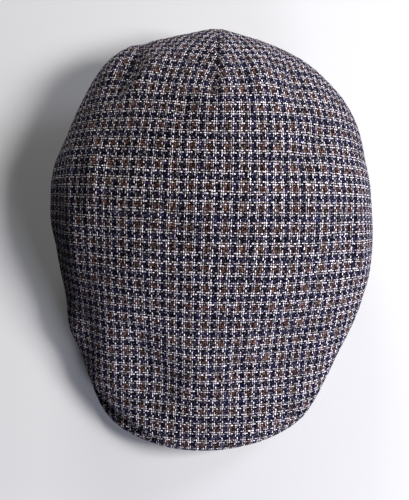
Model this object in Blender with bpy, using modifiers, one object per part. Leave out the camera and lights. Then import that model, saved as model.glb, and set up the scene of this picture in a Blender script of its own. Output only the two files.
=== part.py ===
"""Flat cap in small check cloth: a hollow crown, a short arched peak and the band inside the rim.

Metres, +Z up, peak towards -Y. The cap lies on z = 0 as it would on a table: the rim stands on it at the
sides and the back, and the arched peak touches it with its two tips.
"""

from collections import namedtuple
from math import cos, hypot, radians, sin

import bmesh
import bpy
import numpy as np

# Head opening, measured over the cloth at the rim.
HEAD_LENGTH = 0.200
HEAD_WIDTH = 0.164

# How far the crown hangs out over the rim, and how high it stands.
SIDE_OVERHANG = 0.0205
BACK_OVERHANG = 0.018
CROWN_HEIGHT = 0.092
CROWN_SLUMP = 0.0092  # how much lower the crown has sunk at its left side than at its right
CLOTH = 0.0018
FOLD_RADIUS = 0.0023  # outside of the crown's rolled front edge, at its flattest

# Peak: reach in front of the head opening, thickness, and the arch that lifts its middle off the table.
PEAK_REACH = 0.052
PEAK_THICKNESS = 0.004
PEAK_LIFT = 0.027
PEAK_FALL = 0.008  # how much lower the front edge lies than the root, at the middle
PEAK_SPAN = 0.160  # between the two lines along which the arch meets the table
PEAK_TIP_ANGLE = 66  # degrees round from the middle of the front
PEAK_EDGE_ROUNDING = 0.0016
PEAK_EDGE_ANGLE = 50  # degrees, above which two faces meet in an edge that is rounded
PEAK_SEAM = 0.0003  # how far the root reaches in under the crown's cut edge

# Band sewn inside the rim.
BAND_HEIGHT = 0.028
BAND_THICKNESS = 0.0015
BAND_LIFT = 0.001  # over the table, and over the peak's underside
BAND_GAP = 0.0005  # to the crown's wall
BAND_HEADROOM = 0.002  # under the crown, where the crown comes down over the band in front

CLEARANCE = 0.0003  # between neighbouring pieces
SAG_ALLOWANCE = 0.0006  # more, where the crown's cage lies on the peak, as its cloth sags between sections

# Places on the plan that follow from the sizes above.
HALF_LENGTH = (HEAD_LENGTH + BACK_OVERHANG + PEAK_REACH) / 2
HALF_WIDTH = HEAD_WIDTH / 2 + SIDE_OVERHANG
HEAD_MIDDLE_Y = HALF_LENGTH - BACK_OVERHANG - HEAD_LENGTH / 2
CROWN_MIDDLE_AFT = 0.008  # how far behind the middle of the head opening the crown's sections meet
CROWN_MIDDLE_Y = HEAD_MIDDLE_Y + CROWN_MIDDLE_AFT
ARCH_POWER = 1.25  # above 1, so that the arch runs out flat at its two sides
RIM_SETTLES = (6, 20)  # degrees past the peak's tip between which the rim comes down to the table

# Overhang of the crown beyond the rim. Angles run from the middle of the front. The columns are shares of
# PEAK_REACH, SIDE_OVERHANG and BACK_OVERHANG, and lean is added on the right and taken off on the left.
Overhang = namedtuple("Overhang", "angle peak side back lean")
OVERHANG = (
    Overhang(0, 0.985, 0.00, 0.00, 0.00),
    Overhang(10, 0.962, 0.00, 0.00, 0.01),
    Overhang(20, 0.923, 0.00, 0.00, 0.025),
    Overhang(30, 0.600, 0.55, 0.00, 0.02),
    Overhang(37, 0.400, 0.81, 0.00, 0.00),
    Overhang(43, 0.250, 0.95, 0.00, 0.00),
    Overhang(50, 0.130, 1.08, 0.00, 0.03),
    Overhang(60, 0.040, 1.10, 0.00, 0.07),
    Overhang(75, 0.000, 1.04, 0.00, 0.07),
    Overhang(90, 0.000, 1.00, 0.00, 0.00),
    Overhang(110, 0.000, 0.99, 0.03, -0.02),
    Overhang(140, 0.000, 0.62, 0.52, -0.09),
    Overhang(160, 0.000, 0.10, 0.83, -0.03),
    Overhang(171, 0.000, 0.00, 0.89, 0.00),
    Overhang(180, 0.000, 0.00, 1.02, 0.00),
)

# Overhang of the peak beyond the rim, as a share of PEAK_REACH.
PeakReach = namedtuple("PeakReach", "angle reach")
PEAK_OUTLINE = (
    PeakReach(0, 1.000),
    PeakReach(10, 0.985),
    PeakReach(20, 0.965),
    PeakReach(28, 0.890),
    PeakReach(36, 0.730),
    PeakReach(43, 0.590),
    PeakReach(50, 0.450),
    PeakReach(56, 0.310),
    PeakReach(62, 0.140),
    PeakReach(66, 0.030),
)

# Crown from its rolled edge to its top. Each column after the edge is one ring, at its RING_SHARES of the
# way out from the middle, and holds the ring's height as a share of the way from the fold's to CROWN_HEIGHT.
RING_SHARES = (0.975, 0.93, 0.86, 0.74, 0.58, 0.40, 0.20)
Heights = namedtuple("Heights", "angle edge roll shoulder slope flank middle upper crest")
HEIGHTS = (
    Heights(0, 0.000, 0.008, 0.047, 0.126, 0.240, 0.472, 0.748, 0.921),
    Heights(20, 0.025, 0.052, 0.108, 0.178, 0.298, 0.543, 0.789, 0.934),
    Heights(45, 0.159, 0.205, 0.290, 0.380, 0.527, 0.727, 0.867, 0.954),
    Heights(70, 0.306, 0.360, 0.447, 0.551, 0.666, 0.793, 0.900, 0.962),
    Heights(90, 0.340, 0.424, 0.516, 0.613, 0.724, 0.827, 0.910, 0.967),
    Heights(135, 0.385, 0.462, 0.556, 0.645, 0.764, 0.872, 0.950, 0.989),
    Heights(180, 0.441, 0.516, 0.608, 0.712, 0.845, 0.946, 0.998, 1.000),
)
MIDDLE_HEIGHT = 0.989  # of CROWN_HEIGHT, where all the sections meet

# Crown from the rim out to its edge, a row per ring. out is a share of the overhang and up a share of the
# edge's height: once for the sides and the back, where the cloth stands and bellies out, and once for the
# front, where it lies on the peak and folds back.
LowerRing = namedtuple("LowerRing", "side_out side_up front_out front_up")
LOWER = {
    "rim": LowerRing(0.00, 0.00, 0.00, 0.00),
    "hem": LowerRing(0.00, 0.12, 0.05, 0.00),
    "stand": LowerRing(0.00, 0.24, 0.14, 0.00),
    "sag": LowerRing(0.20, 0.45, 0.50, 0.00),
    "belly": LowerRing(0.55, 0.64, 0.86, 0.00),
    "under_roll": LowerRing(0.88, 0.82, 0.97, 0.30),
}
FRONT_ENDS = (38, 72)  # degrees over which the front's section turns into the side's

# Dents and folds pressed into the crown: place as shares of HALF_WIDTH and HALF_LENGTH, reach along and
# across the heading as shares of HALF_WIDTH, heading in degrees from +X, depth as a share of DENT_DEPTH.
DENT_DEPTH = 0.006
Dent = namedtuple("Dent", "x y along across heading depth")
DENTS = {
    "back_dart": Dent(0.02, 0.80, 0.20, 0.085, 90, 0.40),
    "left_back_valley": Dent(-0.49, 0.78, 0.24, 0.130, 72, 0.75),
    "left_back_hollow": Dent(-0.20, 0.56, 0.20, 0.150, 30, 0.30),
    "left_corner_dimple": Dent(-0.74, 0.66, 0.16, 0.130, 140, 0.50),
    "right_back_pucker": Dent(0.56, 0.72, 0.18, 0.120, 40, 0.45),
    "right_shoulder_pucker": Dent(0.76, 0.36, 0.20, 0.120, 60, 0.45),
    "front_left_fold": Dent(-0.26, -0.62, 0.34, 0.140, 62, 0.50),
    "front_right_hollow": Dent(0.40, -0.55, 0.28, 0.190, 110, 0.35),
}

CROWN_COLUMNS = 36
FRONT_BACK_CROWDING = 0.15  # columns stand closer at the front and the back, where the sections change
PEAK_COLUMN_COUNT = 41
PEAK_ROW_COUNT = 7
BAND_COLUMN_COUNT = 72
BAND_ROW_COUNT = 3

CLOTH_COLOUR = (0.085, 0.077, 0.092, 1.0)
BAND_COLOUR = (0.021, 0.022, 0.038, 1.0)
ROUGHNESS = 0.9


def section_at(angle, table):
    """Row of a table at an angle, by smooth curves through its rows, level at the front and the back."""
    rows = np.array(table, float)
    knots = rows[:, 0]
    values = rows[:, 1:]
    slopes = np.zeros_like(values)
    slopes[1:-1] = (values[2:] - values[:-2]) / (knots[2:] - knots[:-2])[:, None]
    turn = min(turn_from_front(angle), knots[-1])
    start = min(np.searchsorted(knots, turn, side="right") - 1, len(knots) - 2)
    span = knots[start + 1] - knots[start]
    t = (turn - knots[start]) / span
    curve = (2 * t**3 - 3 * t**2 + 1) * values[start]
    curve += (t**3 - 2 * t**2 + t) * span * slopes[start]
    curve += (3 * t**2 - 2 * t**3) * values[start + 1]
    curve += (t**3 - t**2) * span * slopes[start + 1]
    return type(table[0])(turn, *curve)


def blend(value, low, high):
    """0 below low, 1 above high and a smooth step between them."""
    t = min(max((value - low) / (high - low), 0.0), 1.0)
    return t * t * (3 - 2 * t)


def turn_from_front(angle):
    """Degrees from the middle of the front, the same on both sides."""
    return np.degrees(np.arccos(cos(radians(angle))))


def plan_point(angle, out):
    """Plan point at a distance out from the rim's oval, square to it, at an angle from the front."""
    across = sin(radians(angle))
    ahead = -cos(radians(angle))
    normal = np.array((across / HEAD_WIDTH, ahead / HEAD_LENGTH))
    normal /= hypot(*normal)
    rim = np.array((across * HEAD_WIDTH / 2, HEAD_MIDDLE_Y + ahead * HEAD_LENGTH / 2))
    return rim + normal * out


def crown_overhang(angle):
    """How far the crown's edge lies outside the rim."""
    share = section_at(angle, OVERHANG)
    out = share.peak * PEAK_REACH + share.side * SIDE_OVERHANG + share.back * BACK_OVERHANG
    return out * (1 + share.lean * np.sign(sin(radians(angle))))


def peak_height(angle, out):
    """Height of the peak's upper side, also where the sheet is imagined to go on past its edge."""
    x, _ = plan_point(angle, out)
    arch = max(1 - (2 * x / PEAK_SPAN) ** 2, 0.0) ** ARCH_POWER
    fall = PEAK_FALL * min(max(out, 0.0) / PEAK_REACH, 1.0)
    return CLEARANCE + (PEAK_LIFT - fall) * arch + PEAK_THICKNESS


def lying_height(angle, out):
    """Height of the crown's underside where it lies on the peak."""
    return peak_height(angle, out) + CLEARANCE + SAG_ALLOWANCE


def rim_height(angle):
    """Height of the crown's cut edge: on the table at the sides and back, on the peak in front."""
    past_tip = turn_from_front(angle) - PEAK_TIP_ANGLE
    return lying_height(angle, 0.0) * (1 - blend(past_tip, *RIM_SETTLES))


def slumped(points):
    """Points of the crown, lower on the left and higher on the right, the more so the higher they lie."""
    tilt = CROWN_SLUMP / (2 * HALF_WIDTH)
    return [(x, y, z + tilt * x * blend(z, PEAK_LIFT, CROWN_HEIGHT)) for x, y, z in points]


def crown_column(angle):
    """One section of the crown, from the rim out to the rolled edge and up towards the middle."""
    overhang = crown_overhang(angle)
    frontness = 1 - blend(turn_from_front(angle), *FRONT_ENDS)
    lying = frontness * lying_height(angle, overhang)
    _, edge_share, *heights = section_at(angle, HEIGHTS)
    edge = lying + FOLD_RADIUS
    edge += edge_share * (CROWN_HEIGHT - edge)
    rim = rim_height(angle)

    points = []
    for ring in LOWER.values():
        out = overhang * (ring.side_out + (ring.front_out - ring.side_out) * frontness)
        side = rim + ring.side_up * (edge - rim)
        front = lying_height(angle, out) + ring.front_up * (edge - lying)
        height = side + (front - side) * frontness
        if turn_from_front(angle) < PEAK_TIP_ANGLE:
            height = max(height, lying_height(angle, out))
        seam_inset = CLOTH * frontness**2 * (1 - ring.front_out)
        points.append((*plan_point(angle, out - seam_inset), height))

    edge_plan = plan_point(angle, overhang)
    middle = np.array((0.0, CROWN_MIDDLE_Y))
    points.append((*edge_plan, edge))
    floor = lying + 2 * FOLD_RADIUS
    for share, height in zip(RING_SHARES, heights):
        plan = middle + (edge_plan - middle) * share
        points.append((*plan, floor + height * (CROWN_HEIGHT - floor)))
    return slumped(points)


def dent_push(point):
    """How far the dents press a point of the crown inwards."""
    push = 0.0
    for dent in DENTS.values():
        offset = np.array((point[0] - dent.x * HALF_WIDTH, point[1] - dent.y * HALF_LENGTH))
        ahead = np.array((cos(radians(dent.heading)), sin(radians(dent.heading))))
        aside = np.array((-ahead[1], ahead[0]))
        along = offset @ ahead / (dent.along * HALF_WIDTH)
        across = offset @ aside / (dent.across * HALF_WIDTH)
        push += dent.depth * DENT_DEPTH * np.exp(-(along**2) - across**2)
    return push


def crown_cage():
    """Rings of the crown's cage, dented, and moved out so that the subdivided cloth keeps the sizes."""
    turns = np.arange(CROWN_COLUMNS) * 360 / CROWN_COLUMNS
    angles = turns - np.degrees(FRONT_BACK_CROWDING * np.sin(2 * np.radians(turns)))
    rings = np.array([crown_column(angle) for angle in angles]).transpose(1, 0, 2)
    core = np.array((0.0, CROWN_MIDDLE_Y, CROWN_HEIGHT / 3))
    edge = len(LOWER)
    for ring in rings[edge:]:
        for point in ring:
            inwards = core - point
            point += inwards / np.linalg.norm(inwards) * dent_push(point)
    cage = rings.copy()
    for _ in range(4):
        bends = np.roll(cage, 1, axis=1) - 2 * cage + np.roll(cage, -1, axis=1)
        bends[edge] += cage[edge - 1] - 2 * cage[edge] + cage[edge + 1]
        cage = rings - bends / 8
    cage[:, :, 2] = np.maximum(cage[:, :, 2], 0.0)
    return cage


def add_grid(mesh, rings, closed):
    """Adds rings of points to a bmesh as an open sheet of quads, and returns its vertices by ring."""
    sheet = [[mesh.verts.new(point) for point in ring] for ring in rings]
    for low, high in zip(sheet, sheet[1:]):
        count = len(low)
        for i in range(count if closed else count - 1):
            j = (i + 1) % count
            mesh.faces.new((low[i], low[j], high[j], high[i]))
    return sheet


def new_piece(name, mesh, collection, colour):
    """Puts a bmesh into the collection as a smooth-shaded object with a cloth material of its own."""
    data = bpy.data.meshes.new(name)
    mesh.to_mesh(data)
    mesh.free()
    data.shade_smooth()
    piece = bpy.data.objects.new(name, data)
    collection.objects.link(piece)
    material = bpy.data.materials.new(name + "_cloth")
    material.use_nodes = True
    shader = material.node_tree.nodes["Principled BSDF"]
    shader.inputs["Base Color"].default_value = colour
    shader.inputs["Roughness"].default_value = ROUGHNESS
    shader.inputs["Metallic"].default_value = 0.0
    data.materials.append(material)
    return piece


def add_wall(piece, thickness):
    """Gives an open sheet its wall, behind the side that its faces look to."""
    wall = piece.modifiers.new("Wall", "SOLIDIFY")
    wall.thickness = thickness
    wall.offset = -1


def build_crown(collection):
    """Cloth body of the cap, open at the head."""
    rings = crown_cage()
    mesh = bmesh.new()
    sheet = add_grid(mesh, rings, closed=True)
    top = mesh.verts.new((0.0, CROWN_MIDDLE_Y, MIDDLE_HEIGHT * CROWN_HEIGHT))
    inner = sheet[-1]
    for i, vertex in enumerate(inner):
        mesh.faces.new((vertex, inner[(i + 1) % len(inner)], top))
    crown = new_piece("crown", mesh, collection, CLOTH_COLOUR)
    smooth = crown.modifiers.new("Soft form", "SUBSURF")
    smooth.levels = 1
    smooth.render_levels = 1
    add_wall(crown, CLOTH)
    return crown


def build_peak(collection):
    """Arched peak, from under the crown's front edge to its rounded outer edge."""
    angles = np.linspace(-PEAK_TIP_ANGLE, PEAK_TIP_ANGLE, PEAK_COLUMN_COUNT)
    rows = []
    for share in np.linspace(0.0, 1.0, PEAK_ROW_COUNT):
        row = []
        for angle in angles:
            reach = section_at(angle, PEAK_OUTLINE).reach * PEAK_REACH
            out = -PEAK_SEAM + share * (reach + PEAK_SEAM)
            row.append((*plan_point(angle, out), peak_height(angle, out)))
        rows.append(row)
    mesh = bmesh.new()
    add_grid(mesh, rows, closed=False)
    bmesh.ops.recalc_face_normals(mesh, faces=mesh.faces)
    peak = new_piece("peak", mesh, collection, CLOTH_COLOUR)
    add_wall(peak, PEAK_THICKNESS)
    rounding = peak.modifiers.new("Rounded edge", "BEVEL")
    rounding.width = PEAK_EDGE_ROUNDING
    rounding.segments = 2
    rounding.limit_method = "ANGLE"
    rounding.angle_limit = radians(PEAK_EDGE_ANGLE)
    return peak


def crown_height_over_rim(angle):
    """Height of the crown's outer side straight above the rim."""
    column = np.array(crown_column(angle))[len(LOWER) :]
    middle = np.array((0.0, CROWN_MIDDLE_Y))
    distances = np.linalg.norm(column[:, :2] - middle, axis=1)
    rim = np.linalg.norm(plan_point(angle, 0.0) - middle)
    return np.interp(rim, distances[::-1], column[::-1, 2])


def build_band(collection):
    """Band inside the rim, cut lower in front where the crown comes down over it."""
    angles = np.arange(BAND_COLUMN_COUNT) * 360 / BAND_COLUMN_COUNT
    inset = CLOTH + BAND_GAP
    rows = []
    for share in np.linspace(0.0, 1.0, BAND_ROW_COUNT):
        row = []
        for angle in angles:
            bottom = max(rim_height(angle) - PEAK_THICKNESS, 0.0) + BAND_LIFT
            ceiling = crown_height_over_rim(angle) - 2 * CLOTH - BAND_HEADROOM
            top = min(bottom + BAND_HEIGHT, ceiling)
            row.append((*plan_point(angle, -inset), bottom + share * (top - bottom)))
        rows.append(row)
    mesh = bmesh.new()
    add_grid(mesh, rows, closed=True)
    band = new_piece("sweatband", mesh, collection, BAND_COLOUR)
    add_wall(band, BAND_THICKNESS)
    return band


def main():
    """Clears the scene and builds the cap's three pieces."""
    for thing in list(bpy.data.objects):
        bpy.data.objects.remove(thing)
    collection = bpy.data.collections.new("flat_cap")
    bpy.context.scene.collection.children.link(collection)
    build_crown(collection)
    build_peak(collection)
    build_band(collection)


main()
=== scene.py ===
"""Flat cap in small check cloth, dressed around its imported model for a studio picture.

Metres, +Z up, peak towards -Y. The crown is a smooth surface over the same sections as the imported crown's,
with finer folds pressed into it. Its check is laid out as on the flat piece of cloth that the cap was cut
from, darted at the back and pulled over, so that it bends and narrows where real cloth would.
"""

import logging
from dataclasses import dataclass, field
from enum import Enum
from functools import cache
from math import cos, pi, radians, sin
from typing import NamedTuple

import bmesh
import bpy
import numpy as np
from mathutils import Matrix, Vector, noise

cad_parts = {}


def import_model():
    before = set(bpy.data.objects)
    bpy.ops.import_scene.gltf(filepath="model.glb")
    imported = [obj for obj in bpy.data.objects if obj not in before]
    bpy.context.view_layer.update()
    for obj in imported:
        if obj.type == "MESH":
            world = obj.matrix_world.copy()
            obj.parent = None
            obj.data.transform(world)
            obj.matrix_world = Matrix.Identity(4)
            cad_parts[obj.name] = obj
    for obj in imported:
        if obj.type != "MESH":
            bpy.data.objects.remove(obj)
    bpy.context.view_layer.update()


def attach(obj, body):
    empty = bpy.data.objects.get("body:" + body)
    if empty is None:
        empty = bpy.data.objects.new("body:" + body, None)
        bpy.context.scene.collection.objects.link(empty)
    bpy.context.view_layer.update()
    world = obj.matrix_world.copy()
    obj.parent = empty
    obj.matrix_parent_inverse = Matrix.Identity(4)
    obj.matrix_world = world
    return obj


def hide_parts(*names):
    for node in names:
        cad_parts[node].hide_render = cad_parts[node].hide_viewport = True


LOG = logging.getLogger("flat_cap")
MM = 0.001
TINY = 1e-12

WEAVE_MAP = "weave"
BAKE_MAP = "OFBake"
BAKE_MARGIN = 0.005

Span = tuple[float, float]
Colour = tuple[float, float, float, float]
Array = np.ndarray
Piece = bpy.types.Object
Socket = bpy.types.NodeSocket
Outputs = bpy.types.NodeOutputs
Tree = bpy.types.NodeTree


class Spline(Enum):
    """How a smooth curve runs by its points: near them, softly, or through each one."""

    NEAR = ((-1, 3, -3, 1), (3, -6, 3, 0), (-3, 0, 3, 0), (1, 4, 1, 0))
    THROUGH = ((-3, 9, -9, 3), (6, -15, 12, -3), (-3, 0, 3, 0), (0, 6, 0, 0))

    def weights(self, values: Array, count: int, closed: bool) -> tuple[Array, Array]:
        """Finds the four points that each place on the curve depends on.

        Args:
            values: Places on the curve, in steps from point to point.
            count: Number of points.
            closed: True where the last point joins the first.

        Returns:
            The first of the four points for each place, and their four weights.
        """
        start = np.floor(values).astype(int)
        if not closed:
            start = np.clip(start, 0, count - 2)
        t = values - start
        powers = np.stack((t**3, t**2, t, np.ones_like(t)), axis=-1)
        return start, powers @ np.array(self.value) / 6


def carried_on(rows: Array) -> Array:
    """Adds a row at each end of a grid, straight on from the last two."""
    return np.concatenate((2 * rows[:1] - rows[1:2], rows, 2 * rows[-1:] - rows[-2:-1]))


def sample(net: Array, rows: Array, columns: Array, spline: Spline, closed: bool) -> Array:
    """Points on a smooth surface over a grid of points.

    Args:
        net: Grid of points, rows by columns by coordinates.
        rows: Places across the rows, in steps from row to row.
        columns: Places along the rows, in steps from column to column.
        spline: How the surface runs by the grid's points.
        closed: True where the last column joins the first.

    Returns:
        The surface's points, a row for each of rows and a column for each of columns.
    """
    count = net.shape[1]
    wide = carried_on(net)
    if closed:
        wide = np.concatenate((wide[:, -1:], wide, wide[:, :2]), axis=1)
        columns = columns % count
    else:
        wide = carried_on(wide.swapaxes(0, 1)).swapaxes(0, 1)
    row_start, row_weights = spline.weights(rows, net.shape[0], closed=False)
    column_start, column_weights = spline.weights(columns, count, closed)
    four = np.arange(4)
    near = wide[row_start[:, None] + four][:, :, column_start[:, None] + four]
    return np.einsum("ra,cb,racbk->rck", row_weights, column_weights, near)


def smooth_step(value: Array, low: float, high: float) -> Array:
    """0 below low, 1 above high and a smooth step between them."""
    t = np.clip((value - low) / (high - low), 0.0, 1.0)
    return t * t * (3 - 2 * t)


def bell(value: Array, width: float) -> Array:
    """A bump of height 1 around zero, fallen to about a third at the width."""
    return np.exp(-((value / width) ** 2))


def blend(first: Array, second: Array, share: Array | float) -> Array:
    """Goes from the first value at share 0 to the second at share 1."""
    return first + (second - first) * share


def unit(vectors: Array) -> Array:
    """Scales vectors, along the last axis, to length 1."""
    return vectors / np.maximum(np.linalg.norm(vectors, axis=-1, keepdims=True), TINY)


def sideways(line: Array) -> Array:
    """Unit directions square to a line in a plane, to the right of its run."""
    along = np.gradient(line, axis=0)
    return unit(np.stack((along[:, 1], -along[:, 0]), axis=-1))


def travelled(steps: Array) -> Array:
    """Adds up steps, from 0 at the start."""
    return np.concatenate(((0,), np.cumsum(steps)))


def lengths_along(line: Array) -> Array:
    """Length of the way to each point of a line, from 0 at the first."""
    return travelled(np.linalg.norm(np.diff(line, axis=0), axis=-1))


def between(knots: Array, values: Array) -> tuple[Array, Array]:
    """Finds values between knots that grow from one to the next.

    Args:
        knots: The knots.
        values: Values that lie between the first and the last.

    Returns:
        The number of the knot before each value, and the value's share of the way to the next.
    """
    start = np.clip(np.searchsorted(knots, values, side="right") - 1, 0, len(knots) - 2)
    return start, (values - knots[start]) / (knots[start + 1] - knots[start])


def through_rows(turns: Array, table: tuple[NamedTuple, ...]) -> Array:
    """Reads a table at any angle, by smooth curves through its rows, level at both ends.

    Args:
        turns: Angles from the front, in degrees.
        table: Rows that begin with their angle.

    Returns:
        The other columns' values, a row for each angle.
    """
    rows = np.array(table, float)
    knots, values = rows[:, 0], rows[:, 1:]
    slopes = np.zeros_like(values)
    slopes[1:-1] = (values[2:] - values[:-2]) / (knots[2:] - knots[:-2])[:, None]
    start, t = between(knots, np.minimum(turns, knots[-1]))
    t = t[:, None]
    span = (knots[start + 1] - knots[start])[:, None]
    curve = (2 * t**3 - 3 * t**2 + 1) * values[start] + (t**3 - 2 * t**2 + t) * span * slopes[start]
    return curve + (3 * t**2 - 2 * t**3) * values[start + 1] + (t**3 - t**2) * span * slopes[start + 1]


class Overhang(NamedTuple):
    """Overhang at one angle: shares of the peak's reach, the side's and the back's, and a lean to +X."""

    angle: float
    peak: float
    side: float
    back: float
    lean: float


class PeakReach(NamedTuple):
    """Share of the peak's reach at one angle."""

    angle: float
    reach: float


class Heights(NamedTuple):
    """Heights of the crown's rings at one angle, as shares of the way up from the fold."""

    angle: float
    edge: float
    roll: float
    shoulder: float
    slope: float
    flank: float
    middle: float
    upper: float
    crest: float


class LowerRing(NamedTuple):
    """A ring under the crown's edge: shares out and up, at the sides and at the front."""

    side_out: float
    side_up: float
    front_out: float
    front_up: float


class Fold(NamedTuple):
    """A dent or fold pressed into the crown.

    x and y are shares of the half width and half length, along and across shares of the half width. heading
    is in degrees from +X. depth is a share of the crown's dent_depth, below zero where cloth stands proud.
    """

    x: float
    y: float
    along: float
    across: float
    heading: float
    depth: float


class Waves(NamedTuple):
    """Gentle unevenness of cloth: waves for each metre, their depth, and a shift of the pattern."""

    per_metre: float
    depth: float
    shift: tuple[float, float, float] = (0, 0, 0)


class Pull(NamedTuple):
    """How far the cloth is moved at an angle from the front, growing towards +X, in millimetres."""

    angle: float
    out: float


@dataclass(frozen=True)
class CapForm:
    """Sizes that the cap's pieces share, and the lines that follow from them.

    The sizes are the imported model's, in metres and degrees. The scene alone has the pulls of the outline. A
    pull works where a point lies far enough out, as a share of the cap's half sizes, and also stands high
    enough over the table or far enough ahead of the middle.
    """

    head_length: float = 0.200
    head_width: float = 0.164
    side_overhang: float = 0.0205
    back_overhang: float = 0.018
    crown_height: float = 0.092
    crown_slump: float = 0.0092
    cloth: float = 0.0018
    fold_radius: float = 0.0023
    peak_reach: float = 0.052
    peak_thickness: float = 0.004
    peak_lift: float = 0.027
    peak_fall: float = 0.008
    peak_span: float = 0.160
    peak_tip_angle: float = 66
    peak_seam: float = 0.0003
    clearance: float = 0.0003
    sag_allowance: float = 0.0006
    arch_power: float = 1.25
    rim_settles: Span = (6, 20)
    middle_aft: float = 0.008
    overhangs: tuple[Overhang, ...] = (
        Overhang(0, 0.985, 0.00, 0.00, 0.00), Overhang(10, 0.962, 0.00, 0.00, 0.01),
        Overhang(20, 0.923, 0.00, 0.00, 0.025), Overhang(30, 0.600, 0.55, 0.00, 0.02),
        Overhang(37, 0.400, 0.81, 0.00, 0.00), Overhang(43, 0.250, 0.95, 0.00, 0.00),
        Overhang(50, 0.130, 1.08, 0.00, 0.03), Overhang(60, 0.040, 1.10, 0.00, 0.07),
        Overhang(75, 0.000, 1.04, 0.00, 0.07), Overhang(90, 0.000, 1.00, 0.00, 0.00),
        Overhang(110, 0.000, 0.99, 0.03, -0.02), Overhang(140, 0.000, 0.62, 0.52, -0.09),
        Overhang(160, 0.000, 0.10, 0.83, -0.03), Overhang(171, 0.000, 0.00, 0.89, 0.00),
        Overhang(180, 0.000, 0.00, 1.02, 0.00),
    )
    peak_outline: tuple[PeakReach, ...] = (
        PeakReach(0, 1.000), PeakReach(10, 0.985), PeakReach(20, 0.965), PeakReach(28, 0.890),
        PeakReach(36, 0.730), PeakReach(43, 0.590), PeakReach(50, 0.450), PeakReach(56, 0.310),
        PeakReach(62, 0.140), PeakReach(66, 0.030),
    )
    pull_outs: Span = (0.78, 0.98)
    pull_heights: Span = (0.006, 0.024)
    pull_aheads: Span = (0.02, 0.06)
    pulls: tuple[Pull, ...] = (
        Pull(-166, -1.0), Pull(-156, 2.9), Pull(-150, 1.1), Pull(-142, 0.8), Pull(-126, -1.5),
        Pull(-112, 1.8), Pull(-96, 0.8), Pull(-84, -0.7), Pull(-68, -1.3), Pull(-56, 1.8),
        Pull(-46, 0.4), Pull(-37, 2.4), Pull(-28, 2.5), Pull(-14, 1.0), Pull(2, -1.2),
        Pull(18, -1.0), Pull(34, 1.0), Pull(42, 0.2), Pull(52, -0.8), Pull(68, 0.3),
        Pull(90, 0.6), Pull(106, -0.2), Pull(116, -0.4), Pull(130, 1.9), Pull(147, 1.0),
        Pull(158, -1.0), Pull(176, -1.4),
    )

    @property
    def half_length(self) -> float:
        """Half of the whole cap's length."""
        return (self.head_length + self.back_overhang + self.peak_reach) / 2

    @property
    def half_width(self) -> float:
        """Half of the whole cap's width."""
        return self.head_width / 2 + self.side_overhang

    @property
    def head_middle_y(self) -> float:
        """Middle of the head opening."""
        return self.half_length - self.back_overhang - self.head_length / 2

    @property
    def crown_middle(self) -> Array:
        """Where the crown's sections meet, in plan."""
        return np.array((0.0, self.head_middle_y + self.middle_aft))

    def turns(self, angles: Array) -> Array:
        """Degrees from the middle of the front, the same on both sides."""
        return np.degrees(np.arccos(np.clip(np.cos(np.radians(angles)), -1, 1)))

    def plan(self, angles: Array, out: Array | float) -> Array:
        """Plan points at a distance out from the rim's oval, square to it.

        Args:
            angles: Degrees from the front, growing towards +X.
            out: Distance outwards, one for all or one for each angle.

        Returns:
            A row of x and y for each angle.
        """
        turns = np.radians(angles)
        heading = np.stack((np.sin(turns), -np.cos(turns)), axis=-1)
        size = np.array((self.head_width, self.head_length))
        rim = heading * size / 2 + (0, self.head_middle_y)
        return rim + unit(heading / size) * np.reshape(out, (-1, 1))

    def overhang(self, angles: Array) -> Array:
        """How far the crown's edge lies outside the rim."""
        share = through_rows(self.turns(angles), self.overhangs)
        out = share[:, :3] @ (self.peak_reach, self.side_overhang, self.back_overhang)
        return out * (1 + share[:, 3] * np.sign(np.sin(np.radians(angles))))

    def peak_reach_at(self, angles: Array) -> Array:
        """How far the peak's edge lies outside the rim."""
        return through_rows(self.turns(angles), self.peak_outline)[:, 0] * self.peak_reach

    def peak_height(self, angles: Array, out: Array) -> Array:
        """Height of the peak's upper side, also where it is imagined to go on past its edge."""
        x = self.plan(angles, out)[:, 0]
        arch = np.maximum(1 - (2 * x / self.peak_span) ** 2, 0.0) ** self.arch_power
        fall = self.peak_fall * np.clip(out / self.peak_reach, 0.0, 1.0)
        return self.clearance + (self.peak_lift - fall) * arch + self.peak_thickness

    def lying_height(self, angles: Array, out: Array) -> Array:
        """Height of the crown's underside where it lies on the peak."""
        return self.peak_height(angles, out) + self.clearance + self.sag_allowance

    def pulled(self, points: Array) -> Array:
        """Pulls the cap's outline a little in and out, as the soft cloth lies unevenly.

        Args:
            points: Any points of the crown or the peak.

        Returns:
            The points, moved in plan near the outline and left alone near the head and the table.
        """
        knots, outs = np.array(self.pulls).T
        knots = np.concatenate((knots[-1:] - 360, knots, knots[:1] + 360))
        outs = np.concatenate((outs[-1:], outs, outs[:1])) * MM
        start, share = between(knots, np.degrees(np.arctan2(points[..., 0], -points[..., 1])))
        out = blend(outs[start], outs[start + 1], smooth_step(share, 0.0, 1.0))
        reach = np.hypot(points[..., 0] / self.half_width, points[..., 1] / self.half_length)
        high = smooth_step(points[..., 2], *self.pull_heights)
        high_or_ahead = np.maximum(high, smooth_step(-points[..., 1], *self.pull_aheads))
        out *= smooth_step(reach, *self.pull_outs) * high_or_ahead
        moved = points.copy()
        moved[..., :2] += unit(points[..., :2]) * out[..., None]
        return moved

    def rim_height(self, angles: Array) -> Array:
        """Height of the rim: on the table at the sides and the back, on the peak in front."""
        past_tip = smooth_step(self.turns(angles) - self.peak_tip_angle, *self.rim_settles)
        return self.lying_height(angles, np.zeros_like(angles)) * (1 - past_tip)


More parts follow.
